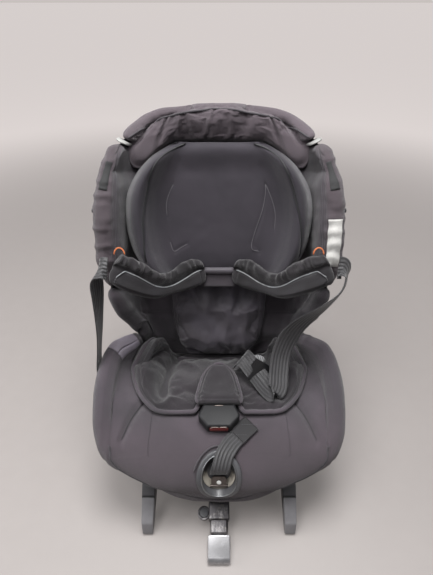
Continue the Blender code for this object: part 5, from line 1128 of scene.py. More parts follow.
def make_back_pad():
    drawing = draw_grid(spread(0, BACK_PAD_END, 0.08), spread(-1, 1, 0.024), back_pad_point,
                        lambda step, share: back_pad_point(step, share, False),
                        hold=lambda step, share: abs(share) > 0.93 or step < 0.3 or step > 6.7)
    pad = place_piece("back_pad_cloth", drawing, satin("pad_satin", 1.3), "seat", ("back_pad",))
    puff(pad, 0.009, 2.5, 0.08)
    edge = [(step, -1) for step in spread(0, BACK_PAD_END, 0.15)]
    edge += [(BACK_PAD_END, share) for share in spread(-1, 1, 0.05)[1:-1]]
    edge += [(step, 1) for step in spread(BACK_PAD_END, 0, 0.15)]
    add_piping("back_pad_piping", [back_pad_point(*place) for place in edge], "seat", radius=0.0019)


WING_START, WING_END = 12, 15.69


def wing_thickness(row, turn):
    """A wing fills the room between the shell's wall and the headrest, and thins over the rim."""
    room = station(row)[2] * HALF_WIDTH - HEAD_HALF - 0.005 - SEAT
    wall = max(room * ramp(15.2 - row, 0, 0.9), 0.012)
    wall = mix(0.008, wall, ramp(abs(turn), 36, 66))
    wrap = abs(turn) - RIM
    body = mix(mix(wall, 0.017, ramp(wrap, -15, ROUND)), 0.006, ramp(wrap, ROUND / 2, HEM_END))
    low, high = ramp(row, 11.3, 12.9), ramp(WING_END - row, -0.6, 0.6)
    return mix(0.006, body, low * high)


def wing_seam(row):
    """The sewn seam that runs down the front edge of a wing."""
    return between(((12.2, 140), (12.8, 136), (13.4, 127), (14.3, 125), (14.9, 118), (WING_END, 160)), row)


def wing_lift(row, turn):
    """A wing's height over the shell, with its seam, gathers and folds."""
    lift = wing_thickness(row, turn) * edge_fall(row, WING_START, WING_END, turn)
    side = abs(turn)
    place = over_shell(row, turn, 0.01)
    gap = side - wing_seam(row)
    lift -= 0.0036 * bell(gap, 5.0)
    gather = bell(gap, 26)
    lift += 0.0036 * gather * ripple((row * 0.03, side * 0.0005, 0), 0.0075, 5)
    lift += 0.0019 * ripple(place, 0.034, 7) * ramp(side, 96, 130) + 0.0009 * ripple(place, 0.013, 3)
    level = (place.x * 0.3, place.y * 0.3, place.z)
    lift += settings().fold_depth * 1.15 * crumple(level, 0.020, 17) * ramp(side, 130, 150)
    return SEAT + max(lift, 0.001)


def on_wing(row, turn, extra=0.0):
    """A place on a wing's outside."""
    return over_shell(row, turn, wing_lift(row, turn) + extra)


def wing_patch(rows, turns, lift):
    """A thin sewn patch that follows a wing."""
    return draw_grid(rows, turns, lambda row, turn: on_wing(row, turn, lift),
                     lambda row, turn: on_wing(row, turn, -lift))


def make_wings():
    rows = spread(WING_START, 12.3, 0.05)[:-1] + spread(12.3, 15.4, 0.045)[:-1] + spread(15.4, WING_END, 0.04)
    for side, word in SIDES:
        past = spread(RIM + 6, RIM + HEM_END, 6)
        turns = sorted(side * turn for turn in spread(36, 90, 3) + past)
        drawing = draw_grid(rows, turns, on_wing, floor_of, used_fade)
        pad = place_piece("wing_pad_cloth_" + word, drawing, cover_cloth(), "seat", ("wing_pad_" + word,))
        seam = [on_wing(row, side * wing_seam(row), -0.0004) for row in spread(12.15, 15.6, 0.05)]
        add_piping("wing_piping_" + word, seam, "seat", radius=0.0014)
        stitch = [on_wing(row, side * (wing_seam(row) - 7), 0.0003) for row in spread(12.3, 15.5, 0.05)]
        add_stitches("wing_stitches_" + word, stitch, "seat")
        tab = wing_patch(spread(14.25, 14.95, 0.05), [side * turn for turn in spread(150, 186, 3)], 0.0008)
        place_piece("wing_tab_" + word, tab, label_cloth("dark_tab", (0.012, 0.012, 0.013)), "seat")
        peg_row = 13.75
        peg, out = over_shell(peg_row, side * 268, 0.013), shell_axes(peg_row, side * RIM)[2]
        add_round("wing_peg_" + word, peg, -out, 0.0042, 0.006, grey_plastic(), "seat")
    patch = wing_patch(spread(12.55, 13.6, 0.05), spread(140, 188, 3), 0.0009)
    place_piece("blank_patch", patch, label_cloth("pale_patch", (0.52, 0.51, 0.49)), "seat")


TOP_START, TOP_END = 16.02, 20
# The seam across the top pad: turn and row
TOP_LINE = ((-150, 16.1), (-128, 16.75), (-90, 17.05), (-62, 17.25), (-44, 17.55), (-26, 18.1), (-10, 18.4),
            (6, 18.42), (20, 18.2), (32, 17.9), (50, 17.4), (66, 17.15), (90, 16.95), (128, 16.75),
            (150, 16.1))


def top_pad_lift(row, turn):
    """The top pad's height over the shell, with its folds and its two seams from front to rear."""
    side = abs(turn)
    middle = 1 - ramp(side, 30, 100)
    body = mix(0.014, 0.046, middle * ramp(row, 15.52, 17.22) * ramp(LAST_ROW + 0.9 - row, 0, 1.9))
    lift = mix(body, 0.008, ramp(side, RIM - 35, RIM + ROUND)) * edge_fall(row, TOP_START, math.inf, turn)
    place = over_shell(row, turn, 0.02)
    fold = settings().fold_depth
    inside = 1 - ramp(side, 95, 140)
    lift -= 0.0060 * bell(side - top_seam(row), 1.7) * inside
    tall = (place.x, place.y * 0.18, place.z * 0.18)
    lift += fold * 3.2 * crumple(tall, 0.052, 41) * inside * ramp(row, 16.1, 16.8)
    lift += 0.0020 * ripple(place, 0.035, 13)
    return SEAT + max(lift, 0.001)


def top_seam(row):
    """The turn of the top pad's two seams from front to rear."""
    return between(((16, 37), (16.6, 39.5), (17.2, 45), (17.8, 52), (18.4, 60), (19, 70)), row)


def top_corner(row, turn):
    """The pad's front corners hang down between the wings and the headrest."""
    side = abs(turn)
    return (1 - ramp(row, TOP_START, 17.2)) * ramp(side, 28, 47) * (1 - ramp(side, 51, 84))


def top_place(row, turn, lift, rise):
    """Over the shell, down at the front corners, and past the last row over the shell's edge. The hem
    behind is drawn in towards the last row, so that it meets the middle."""
    side, over, near = abs(turn), max(row - LAST_ROW, 0), min(row, LAST_ROW)
    corner = top_corner(near, turn)
    past = max(side - RIM - ROUND, 0) * 0.9 * ramp(near, 17.4, LAST_ROW)
    place = over_shell(near - 1.2 * corner, math.copysign(side - past, turn), lift)
    less = 1 - 0.8 * ramp(side, RIM / 2, RIM + ROUND / 2)
    along, out = shell_axes(LAST_ROW, 0)[1:]
    return place + (along * rise * math.sin(over * math.pi / 2) - out * 0.0045 * ramp(over, 0.2, 1)) * less


def top_point(row, turn, extra=0.0):
    """A place on the top pad's outside."""
    near = min(row, LAST_ROW)
    lift = max(top_pad_lift(near, turn), 0.0175 * top_corner(near, turn))
    lift = mix(lift, 0.003, 0.5 * ramp(near, 18, LAST_ROW) * ramp(abs(turn), RIM + 90, RIM + ROUND))
    bulge = math.cos(max(row - LAST_ROW, 0) * math.pi / 2)
    return top_place(row, turn, SEAT + (lift - SEAT + extra) * bulge, 0.012)


def top_floor(row, turn):
    """A place on the top pad's underside."""
    corner = top_corner(min(row, LAST_ROW), turn)
    return top_place(row, turn, SEAT + 0.0128 * ramp(corner, 0, 0.5), 0.0118)


def top_hold(row, turn):
    """The top pad's cloth is held at its edges, at its corners and along its seams."""
    if row < 16.15 or row > LAST_ROW or abs(turn) > 150 or top_corner(row, turn) > 0.3:
        return True
    return abs(abs(turn) - top_seam(row)) < 1.5 or abs(row - between(TOP_LINE, turn)) < 0.05


def make_top_pad():
    rows = (spread(TOP_START, 16.3, 0.05)[:-1] + spread(16.3, LAST_ROW, 0.05)[:-1]
            + spread(LAST_ROW, TOP_END, 0.12))
    drawing = draw_grid(rows, wrap_turns(1.8), top_point, top_floor, lambda row, turn: 0.75, top_hold)
    pad = place_piece("top_pad_cloth", drawing, cover_cloth("top_cloth", 1.55), "seat", ("top_pad",))
    puff(pad, 0.010, 4.0, 0.06)
    piping = [top_point(between(TOP_LINE, turn), turn, 0.0008) for turn in spread(-150, 150, 2)]
    add_piping("top_pad_piping", piping, "seat", radius=0.0019)
    for side, word in SIDES:
        seam = [top_point(row, side * top_seam(row), 0.0004) for row in spread(16.1, 17.6, 0.05)]
        add_stitches("top_pad_stitches_" + word, seam, "seat")


# Headrest: its seams and pipings by row and column of its grid
HEAD_SEAMS = (((6.3, -3.5), (5.4, -4.0), (4.6, -3.95)), ((3.3, -3.9), (2.8, -3.6), (3.2, -2.3)),
              ((6.3, 3.6), (3.25, 2.4), (2.75, 3.2)), ((6.3, 3.6), (4.95, 4.35), (3.9, 4.45)))
HEAD_PIPING = (((9.7, -6.1), (8.65, -7.3), (7.75, -7.5), (6.75, -7.0), (6.0, -6.6), (4.8, -6.9),
                (3.55, -7.3), (2.4, -8.3)),
               ((9.6, 6.3), (8.9, 7.9), (8.05, 7.9), (7.35, 7.5), (6.3, 7.1), (5.5, 7.2), (4.4, 7.9),
                (3.4, 8.7), (2.6, 9.4)))


def head_section(column):
    """The headrest's section at a column: across, front and rear."""
    across, front, rear = smooth_place(HEAD_SECTION, min(abs(column), HEAD_EDGE))
    return math.copysign(across, column), front, rear


def distance_to(line, row, column):
    """Distance on the headrest's own grid from a place to a sewn line."""
    best = math.inf
    for (row_one, one), (row_two, two) in zip(line, line[1:]):
        run = np.array((row_two - row_one, two - one))
        place = np.array((row - row_one, column - one))
        share = min(max(float(place @ run) / float(run @ run), 0), 1)
        best = min(best, float(np.linalg.norm(place - run * share)))
    return best


def head_place(wide, across, height, depth, clear=0.0):
    """A place by shares of the headrest's half width, height and depth."""
    return on_back(HEAD_HALF * wide * across, HEAD_LOW + HEAD_HEIGHT * height,
                   HEAD_REAR + HEAD_DEPTH * depth + clear)


def head_front(row, column, extra=0.0):
    """The cushion's front face: flatter at the top, and turned round to the rear past its edge column."""
    height, wide, full = smooth_place(HEAD_ROWS, row)
    across, front, rear = head_section(column)
    front = mix(front, 0.60 - 0.0012 * column * column, 0.8 * ramp(row, 6.8, 9.2))
    middle = (front + rear) / 2
    depth = mix(middle, front, full)
    past = max(abs(column) - HEAD_EDGE, 0) / (HEAD_LAST_COLUMN - HEAD_EDGE)
    if past:
        depth = mix(depth, mix(middle, rear, max(full, 0.8)), past)
        wide *= 1 + 0.022 * math.sin(past * math.pi)
    place = head_place(wide, across, height, depth)
    lift = 0.0009 * ripple(place, 0.045, 3) + 0.0005 * ripple(place, 0.018, 6)
    for line in HEAD_SEAMS:
        lift -= 0.0016 * bell(distance_to(line, row, column), 0.11)
    for line in HEAD_PIPING:
        lift -= 0.0022 * bell(distance_to(line, row, column), 0.2) * (1 - ramp(row, 7.8, 9.0))
    return place + BACK_OUT * (lift + extra)


def head_back(row, column):
    """The cushion's rear face, clear of the headrest's moulded shell."""
    height, wide, full = smooth_place(HEAD_ROWS, row)
    across, front, rear = head_section(column * HEAD_EDGE / HEAD_LAST_COLUMN)
    return head_place(wide, across, height, mix((front + rear) / 2, rear, max(full, 0.8)), 0.0043)


def fine_line(line):
    """Close places along one of the sewn lines."""
    return [smooth_place(line, at) for at in spread(0, len(line) - 1, 0.06)]


def make_headrest():
    edge, last = HEAD_EDGE, HEAD_LAST_COLUMN
    columns = spread(-last, -edge, 0.5)[:-1] + spread(-edge, edge, 0.125)[:-1] + spread(edge, last, 0.5)
    drawing = draw_grid(spread(0, HEAD_LAST_ROW, 0.1), columns, head_front, head_back)
    cushion = place_piece("headrest_cloth", drawing, jersey(), "headrest", ("headrest_cushion",))
    pale = thread("headrest_thread", (0.085, 0.080, 0.088))
    black = plastic("piping_black", (0.010, 0.010, 0.011), 0.5, 1.0, 0.1)
    for kind, lines, lift, material, radius, sides in (("seam", HEAD_SEAMS, 0.0006, pale, 0.0006, 6),
                                                       ("piping", HEAD_PIPING, 0.0010, black, 0.0016, 8)):
        for index, line in enumerate(lines):
            path = [head_front(row, column, lift) for row, column in fine_line(line)]
            add_piping("headrest_%s_%d" % (kind, index), path, "headrest", material, radius, sides)
    dress("headrest_shell", black_plastic())
    dress("headrest_carriage", black_plastic())
    dress("headrest_handle", grey_plastic())


# Shoulder pads
def shoulder_ring(side, at):
    """Centre and axes of one section of a shoulder pad."""
    def centre(where):
        across, up, out = smooth_place(SHOULDER_ROUTE, where)
        if side < 0:
            across -= 0.055 * ramp(where, 3.5, SHOULDER_END)
        return head_place(side, across, up, out)
    ahead = (centre(min(at + 0.4, SHOULDER_END)) - centre(max(at - 0.4, 0))).normalized()
    up = (BACK_UP - ahead * BACK_UP.dot(ahead)).normalized()
    out = ahead.cross(up)
    if out.dot(BACK_OUT) < 0:
        out = -out
    return centre(at), up, out, smooth_value(SHOULDER_FULL, at)


def shoulder_point(side, at, angle, extra=0.0):
    """A place round a section: a puffy roll above, a sewn groove and a flat panel below it in front."""
    place, up, out, full = shoulder_ring(side, at)
    ends = rounded(at * 0.030 + 0.0004, 0.010) * rounded((SHOULDER_END - at) * 0.030 + 0.0004, 0.010)
    turn = math.radians(angle)
    flat = math.copysign(abs(math.cos(turn)) ** 0.6, math.cos(turn))
    thick = math.copysign(abs(math.sin(turn)) ** 0.8, math.sin(turn))
    high = SHOULDER_HALF * full * flat
    high -= 0.013 * dip(at, 2.5, 2.0) * ramp(flat, 0.1, 0.9)
    deep = 0.009 * full * thick
    if thick > 0:
        seam = 0.006 - 0.013 * dip(at, 2.3, 2.1)
        deep -= 0.0042 * bell(high - seam, 0.0032)
        roll = ramp(high, seam, 0.016)
        groove = 0.0030 * (1 - roll) * ramp(high, -SHOULDER_HALF, -0.010)
        deep += (0.0024 * roll - groove) * min(thick * 1.6, 1)
        spot = (at * 0.03, high, side)
        waves = math.sin(at * 12 + 6 * ripple(spot, 0.03, 2))
        deep += roll * (0.0026 * waves + 0.0042 * ripple(spot, 0.014, 5))
        deep += 0.0007 * ripple(spot, 0.02, 9) * (1 - roll)
        deep += extra
    if high > 0.01:
        high += 0.0028 * ripple((at * 0.03, 0, side), 0.014, 8) * ramp(high, 0.01, 0.024)
    return place + (up * high + out * deep) * mix(0.35, 1, ends)


def front_of_shoulder(side, at, high, extra):
    """A place on the front face of a shoulder pad at a height off its centre line."""
    full = shoulder_ring(side, at)[3]
    flat = min(max(high / (SHOULDER_HALF * full), -1), 1)
    angle = math.degrees(math.acos(math.copysign(abs(flat) ** (1 / 0.6), flat)))
    return shoulder_point(side, at, angle, extra)


def shoulder_panel(side, at, share, extra):
    """The flat panel on a shoulder pad's lower half: share 0 is its lower edge and 1 its piped upper edge."""
    top = 0.003 - 0.014 * ramp(at, 5.0, 5.5) - 0.013 * dip(at, 2.3, 2.1)
    return front_of_shoulder(side, at, mix(-0.024 + 0.006 * ramp(at, 5, 5.5), top, share), extra)


def make_shoulder_pads():
    for side, word in SIDES:
        steps = spread(0, 0.6, 0.06)[:-1] + spread(0.6, 5.4, 0.07)[:-1] + spread(5.4, SHOULDER_END, 0.06)
        drawing = draw_grid(steps, spread(0, 360, 6), lambda at, angle: shoulder_point(side, at, angle))
        bmesh.ops.remove_doubles(drawing, verts=drawing.verts, dist=2e-5)
        bmesh.ops.holes_fill(drawing, edges=[line for line in drawing.edges if line.is_boundary])
        bmesh.ops.recalc_face_normals(drawing, faces=drawing.faces)
        # Painted shade: the shoulder pads' cloth and panels are darker copies of the cover fabric, about a
        # third and a quarter as light, for the shade on their upright faces.
        pad = place_piece("shoulder_pad_cloth_" + word, drawing, cover_cloth("pad_cloth", 0.33), "headrest",
                          ("shoulder_pad_" + word,))
        panel = draw_grid(spread(0.35, 5.45, 0.1), spread(0, 1, 0.1),
                          lambda at, share: shoulder_panel(side, at, share, 0.0016),
                          lambda at, share: shoulder_panel(side, at, share, -0.0004))
        place_piece("shoulder_panel_" + word, panel, satin("panel_satin", 0.26), "headrest")
        line = [shoulder_panel(side, 5.45, share, 0.0022) for share in spread(0.5, 0.9, 0.1)]
        line += [shoulder_panel(side, at, 1, 0.0026) for at in spread(5.4, 0.2, 0.08)]
        add_piping("shoulder_reflective_piping_" + word, line, "headrest", reflective_piping(), 0.0009)
        border = [front_of_shoulder(side, at, -0.0215, 0.0004) for at in spread(0.5, 5.5, 0.1)]
        add_stitches("shoulder_pad_stitches_" + word, border, "headrest")
        across, up, out = smooth_place(SHOULDER_ROUTE, 5)
        foot = HEAD_LOW + HEAD_HEIGHT * up + SHOULDER_HALF * SHOULDER_FULL[5] + 0.0019
        half, rise = 0.009, 0.012
        loop = [on_back(side * (HEAD_HALF * across - math.cos(turn) * half), foot + rise * math.sin(turn),
                        HEAD_REAR + HEAD_DEPTH * out) for turn in spread(0, math.pi, math.pi / 16)]
        cord = plastic("elastic_cord", tuple(settings().loop_colour), 0.7, 1.0, 0.1)
        place_piece("elastic_cord_" + word, draw_tube(loop, 0.0012, 10), cord, "headrest",
                    ("elastic_loop_" + word,))
    roll = [on_back(across, HEAD_LOW + 0.012, HEAD_REAR + 0.047 + 0.002 * math.cos(across * 60))
            for across in spread(-0.030, 0.030, 0.004)]
    place_piece("neck_roll", draw_tube(roll, 0.0065, 12), satin(), "headrest")

    def neck_place(down, across, out=0.043):
        """A place on the panel below the neck roll."""
        return on_back(across * 0.031, HEAD_LOW + 0.006 - 0.026 * down, HEAD_REAR + out)

    panel = draw_grid(spread(0, 1, 0.1), spread(-1, 1, 0.1),
                      lambda down, across: neck_place(down, across, 0.046 + 0.0015 * (1 - across ** 2)),
                      neck_place)
    place_piece("neck_panel", panel, cover_cloth(), "headrest")


# Harness
def draw_ribbon(route, sides, half_width, thickness, step, curl=0.0):
    """Flat webbing along a smooth route, a little thinner at its edges."""
    def centre(at):
        return Vector(smooth_place(route, min(max(at, 0), len(route) - 1)))

    def point(at, share, way):
        ahead = (centre(at + 0.1) - centre(at - 0.1)).normalized()
        side = Vector(smooth_place(sides, at))
        side = (side - ahead * side.dot(ahead)).normalized()
        edge = 1 - 0.35 * max(abs(share) - 0.82, 0) / 0.18
        lift = curl * (share ** 2 - 0.3) + way * thickness / 2 * edge
        return centre(at) + side * share * half_width + ahead.cross(side) * lift

    return draw_grid(spread(0, len(route) - 1, step), spread(-1, 1, 0.1),
                     lambda at, share: point(at, share, 1), lambda at, share: point(at, share, -1))


def strap_route(shares):
    """Places of a strap from its shares of the half width, the run and the height."""
    return [(HALF_WIDTH * across, FRONT_Y + RUN * run, LOW_Z + HEIGHT * rise) for across, run, rise in shares]


def make_harness():
    for word, route, sides in (("left", LEFT_STRAP, LEFT_STRAP_SIDES),
                               ("right", RIGHT_STRAP, RIGHT_STRAP_SIDES)):
        route = strap_route(route)
        strap = draw_ribbon(route, sides, STRAP_HALF_WIDTH, STRAP_THICKNESS, 0.1, 0.0012)
        strap = place_piece("harness_webbing_" + word, strap, webbing(), None, ("harness_strap_" + word,))
        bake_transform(strap)
        dress("tongue_" + word, plastic("tongue_black", (0.012, 0.012, 0.013), 0.35, 0.3, 0.2))
    loop = [(0.064, -0.028, 0.258), (0.067, -0.031, 0.270), (0.076, -0.036, 0.278), (0.086, -0.041, 0.276),
            (0.092, -0.044, 0.262)]
    ribbon = draw_ribbon(loop, [(0.3, 0.8, 0.4)] * len(loop), 0.009, 0.002, 0.1)
    place_piece("keeper_loop", ribbon, reflective_webbing(), "seat")
    route = crotch_route()
    strap = draw_ribbon(route, [(1, 0, 0)] * len(route), STRAP_HALF_WIDTH, STRAP_THICKNESS, 0.1)
    place_piece("crotch_webbing", strap, webbing(), "seat", ("crotch_strap",))
    places = [over_shell(row, turn, SEAT + cover_thickness(row, 0) + 0.025 * lift + 0.0016)
              for row, turn, lift in ADJUSTER_STRAP]
    sides = [shell_axes(row, turn)[0] for row, turn, lift in ADJUSTER_STRAP]
    strap = draw_ribbon(places, sides, 0.0165, STRAP_THICKNESS, 0.08)
    place_piece("adjuster_webbing", strap, webbing(), "seat", ("adjuster_strap",))
    out = shell_axes(3, 0)[2]
    cover = [place + out * 0.0026 for place in places[5:]]
    fold = draw_ribbon(cover, sides[5:], 0.0175, 0.0026, 0.08)
    place_piece("adjuster_strap_fold", fold, satin("strap_fold", 0.18), "seat")
    for index, at in enumerate((0.25, 1.75)):
        middle = Vector(smooth_place(cover, at))
        ends = [middle + sides[6] * across + out * 0.0018 for across in (-0.015, 0.015)]
        add_stitches("strap_fold_stitches_%d" % index, ends, "seat")


# Crotch pad and buckle
def cad_thickness(row):
    """The thickness of the cover's solid, which the buckle and crotch pad stand on."""
    return mix(0.009, 0.025, ramp(row, -0.6, 1.2) * ramp(abs(row - CREASE_ROW), -0.2, 2.0))


def buckle_matrix():
    """The buckle's own axes: across, along and out from the seat."""
    across, along, out = shell_axes(BUCKLE_ROW, 0)
    matrix = Matrix((across, along, out)).transposed().to_4x4()
    matrix.translation = shell_point(BUCKLE_ROW, 0) + out * (SEAT + cad_thickness(BUCKLE_ROW) + CLEARANCE)
    return matrix


def crotch_route():
    """The crotch strap comes up through the seat, bows and ends in the rear of the buckle."""
    out = shell_axes(CROTCH_ROW, 0)[2]
    shell = shell_point(CROTCH_ROW, 0)
    top = shell + out * (SEAT + cad_thickness(CROTCH_ROW))
    rear = buckle_matrix() @ Vector((0, 0.0225 + 0.0003, 0.012))
    middle, bow = (top + rear) / 2, 0.018
    return [shell + out * SEAT, top, top + out * bow * 0.55, middle + out * bow * 0.62, rear]


def crotch_pad_point(share, column, high=True):
    """A place on the crotch pad's top or, where high is False, on its floor."""
    across, along, out = shell_axes(CROTCH_ROW, 0)
    base = max(crotch_route(), key=lambda place: place.dot(out)) + out * (0.0011 + SEAT)
    wide = between(((0, 0.040), (0.12, 0.043), (0.3, 0.041), (0.5, 0.0375), (0.68, 0.0335), (0.8, 0.029),
                    (0.9, 0.022), (0.96, 0.015), (1, 0.006)), share)
    place = base + along * CROTCH_LENGTH * (share - 0.18) + out * CROTCH_LENGTH * 0.20 * share * share
    place += across * wide * column
    if not high:
        return place
    inside = min((1 - abs(column)) * wide, share * CROTCH_LENGTH + 0.001, (1 - share) * CROTCH_LENGTH + 0.002)
    lift = mix(0.0045, 0.0135, rounded(inside, 0.016))
    corner = ramp(abs(column), 0.5, 0.9) * ramp(0.45 - share, 0, 0.3)
    lift += corner * 0.0030 * ripple(place, 0.0065, 4) + 0.0010 * ripple(place, 0.02, 3)
    lift -= 0.0020 * bell(inside - 0.006, 0.0014)
    return place + out * max(lift, 0.001)


def add_bar(name, matrix, centre, size, material):
    """A small bevelled bar on the seat's body, placed by the buckle's axes."""
    drawing = bmesh.new()
    box = matrix @ Matrix.Translation(centre) @ Matrix.Diagonal((*size, 1))
    bmesh.ops.create_cube(drawing, size=1, matrix=box)
    bmesh.ops.bevel(drawing, geom=drawing.edges[:], offset=min(size) * 0.3, segments=2, profile=0.5,
                    affect="EDGES", material=-1)
    return place_piece(name, drawing, material, "seat")


def make_crotch_pad():
    drawing = draw_grid(spread(0, 1, 0.02), spread(-1, 1, 0.04), crotch_pad_point,
                        lambda share, column: crotch_pad_point(share, column, False))
    pad = place_piece("crotch_pad_cloth", drawing, cover_cloth("insert_cloth", 0.47), "seat", ("crotch_pad",))
    edge = [(share, -1) for share in spread(0, 0.98, 0.03)]
    edge += [(0.985, column) for column in spread(-0.9, 0.9, 0.2)]
    edge += [(share, 1) for share in spread(0.98, 0, 0.03)]
    add_piping("crotch_pad_piping", [crotch_pad_point(*place) for place in edge], "seat",
               cover_cloth("piping_cloth", 1.1), 0.0034)
    black = plastic("buckle_black", (0.005, 0.005, 0.006), 0.6, 0.25, 0.08)
    softened("buckle_moulding", "buckle_housing", black, 0.0016, 3)
    red = plastic("buckle_red", (0.10, 0.012, 0.011), 0.4, 0.3, 0.2)
    softened("buckle_press", "buckle_button", red, 0.0012, 3)
    matrix = buckle_matrix()
    silver = metal("buckle_trim_metal", (0.19, 0.155, 0.14), 0.45, 0.4)
    for side, word in SIDES:
        for name, place, size in (
                ("buckle_trim_", (side * 0.0075, -0.0232, 0.0205), (0.013, 0.0014, 0.0016)),
                ("buckle_tip_", (side * 0.0135, -0.0232, 0.0150), (0.003, 0.0014, 0.0060))):
            add_bar(name + word, matrix, place, size, silver)
    add_bar("buckle_rear_bar", matrix, (0, 0.0185, 0.0243), (0.015, 0.0014, 0.0010), silver)


# Adjuster
def adjuster_ring(wide, high, angle, lift):
    """A place on an oval round the adjuster's middle."""
    turn = math.radians(angle)
    return adjuster_place(wide * math.cos(turn), high * math.sin(turn), lift)


def bezel_ring(inset, lift, low=0, high=360):
    """Places on the bezel's outline, drawn in by the inset, from one angle to another."""
    return [adjuster_ring(BEZEL_WIDE - inset, BEZEL_HIGH - inset, angle, lift)
            for angle in spread(low, high, 6)]


def make_adjuster():
    tray = draw_grid(spread(0.02, 1, 0.07), spread(0, 360, 6), lambda share, angle:
                     adjuster_ring(TRAY_WIDE * share, TRAY_HIGH * share, angle, 0.0024 + 0.0122 * share ** 8))
    chart = tray.loops.layers.uv["cloth"]
    middle, far = adjuster_place(0, 0, 0.005), adjuster_place(0, 0.03, 0.005)
    ahead = (far - middle).normalized()
    for face in tray.faces:
        for loop in face.loops:
            loop[chart].uv = ((loop.vert.co - middle).x, (loop.vert.co - middle).dot(ahead))
    bmesh.ops.remove_doubles(tray, verts=tray.verts, dist=2e-5)
    heart = [line for line in tray.edges if line.is_boundary and (line.verts[0].co - middle).length < 0.006]
    bmesh.ops.holes_fill(tray, edges=heart)
    bmesh.ops.solidify(tray, geom=tray.faces[:], thickness=0.0006)
    bmesh.ops.recalc_face_normals(tray, faces=tray.faces)
    place_piece("adjuster_tray", tray, dusty_plastic(), "seat")
    # Painted highlight: a pale metal ring along the bezel's inner rim stands for the highlight there.
    worn = metal("bezel_rim_painted_highlight", (0.30, 0.31, 0.32), 0.35, 0.7)
    rim = draw_tube(bezel_ring(0.0094, 0.0277)[:-1], 0.0011, closed=True)
    place_piece("bezel_painted_highlight_rim", rim, worn, "seat")
    add_piping("adjuster_flap_piping", bezel_ring(-0.0045, 0.0278, 70, 165), "seat", radius=0.0018)
    grey = plastic("bezel_grey", (0.060, 0.060, 0.064), 0.34, 0.3, 0.5)
    softened("adjuster_bezel_moulding", "adjuster_bezel", grey, 0.0010, 2, 35)
    along, half = (1.1 - ADJUSTER_ROW) * adjuster_pitch(), 0.012
    low, high = (adjuster_place(0, along + way * half, 0.013) for way in (-1, 1))
    ahead = (high - low).normalized()
    out = Vector((1, 0, 0)).cross(ahead)
    # Painted highlight: the rivet is made near white to show the glint on it.
    pale = plastic("rivet_painted_highlight", (0.68, 0.68, 0.66), 0.4, 0.2, 0.2)
    rivet = add_round("adjuster_rivet", low + ahead * half + out * 0.0036, out, 0.0043, 0.0014, pale,
                      "adjuster_lever")
    plate = metal("lever_plate_metal", (0.15, 0.13, 0.12), 0.42, 0.5)
    softened("adjuster_plate", "adjuster_lever", plate, 0.0005, 2)


# Shell and back
def add_rib(name, line):
    """A rib on the shell's outside along a line of rows and turns."""
    path = [over_shell(row, turn, -WALL - 0.0006) for row, turn in line]
    place_piece(name, draw_tube(resample(path, 0.008), 0.0032), black_plastic(), "seat")


def liner_top(row, turn):
    """A side liner shows between a wing and the top pad, and is rounded down beside both."""
    ends = rounded((row - 15.76) * ROW_LENGTH, 0.002) * rounded((15.96 - row) * ROW_LENGTH, 0.002)
    return over_shell(row, turn, SEAT + 0.010 * ends)


def make_shell():
    drawing = draw_grid(spread(0, LAST_ROW, 0.14), spread(-90, 90, 3),
                        lambda row, turn: over_shell(row, turn, 0),
                        lambda row, turn: over_shell(row, turn, -WALL))
    place_piece("shell_moulding", drawing, black_plastic(), "seat", ("seat_shell",))
    for index, turn in enumerate((-62, -46, 46, 62)):
        add_rib("shell_rib_%d" % index, [(row, turn) for row in spread(9.4, 17.2, 0.2)])
    for index, row in enumerate((6.2, 8.9, 16.4)):
        add_rib("shell_cross_rib_%d" % index, [(row, turn) for turn in spread(-60, 60, 4)])
    softened("rear_panel_moulding", "rear_panel", grey_plastic(), 0.0018, 2)
    zinc = metal("screw_zinc", (0.5, 0.5, 0.5), 0.35)
    for row in (10.9, 15.3):
        for side, word in SIDES:
            place = over_shell(row, side * 21, -WALL - SEAT - 0.0058)
            out = shell_axes(row, side * 21)[2]
            add_round("panel_screw_%s_%d" % (word, row), place, out, 0.0042, 0.0026, zinc, "seat")
    for side, word in SIDES:
        turns = sorted(side * turn for turn in spread(72, RIM + HEM_END, 6))
        drawing = draw_grid(spread(15.78, 15.94, 0.02), turns, liner_top, floor_of)
        place_piece("side_liner_moulding_" + word, drawing, pale_plastic(), "seat", ("side_liner_" + word,))
        dress("guide_rail_" + word, rail_steel())
        dress("cradle_plate_" + word, dark_steel())
    for node in ("cradle_shaft_front", "cradle_shaft_rear"):
        dress(node, rail_steel())


# Base, leg and arms
def make_base():
    softened("housing_moulding", "base_housing", black_plastic(), 0.0030, 3, 35)
    dress("leg_pin", rail_steel())
    softened("recline_press", "recline_button", black_plastic(), 0.0015, 3)
    arm, hook = metal("arm_steel", (0.5, 0.5, 0.51), 0.3, 0.3), metal("hook_steel", (0.45, 0.45, 0.46), 0.3)
    for word in ("left", "right"):
        dress("recline_rail_" + word, dark_steel())
        softened("arm_rail_moulding_" + word, "arm_rail_" + word, grey_plastic(), 0.0012, 2)
        softened("front_foot_moulding_" + word, "front_foot_" + word, foot_plastic(), 0.0022, 3, 18)
        softened("rear_pad_moulding_" + word, "rear_pad_" + word, rubber(), 0.0010, 2)
        softened("anchor_arm_bar_" + word, "anchor_arm_" + word, arm, 0.0008, 2)
        softened("connector_moulding_" + word, "connector_" + word, black_plastic(), 0.0012, 2)
        dress("latch_hook_" + word, hook)
        softened("release_moulding_" + word, "release_slider_" + word, grey_plastic(), 0.0008, 2)


def make_leg():
    softened("leg_sleeve_moulding", "leg_sleeve", scuffed_shaded_tube(), 0.0010, 2, 35)
    softened("leg_press", "leg_lock_button", grey_plastic(), 0.0010, 3, clear=0.0003)
    softened("leg_tube_bar", "leg_tube", scuffed_shaded_tube(), 0.0008, 2)
    worn = metal("foot_worn_silver", (0.46, 0.455, 0.465), 0.38, 0.45, (0.16, 0.16, 0.17))
    softened("leg_foot_moulding", "leg_foot", worn, 0.0030, 3, 14)


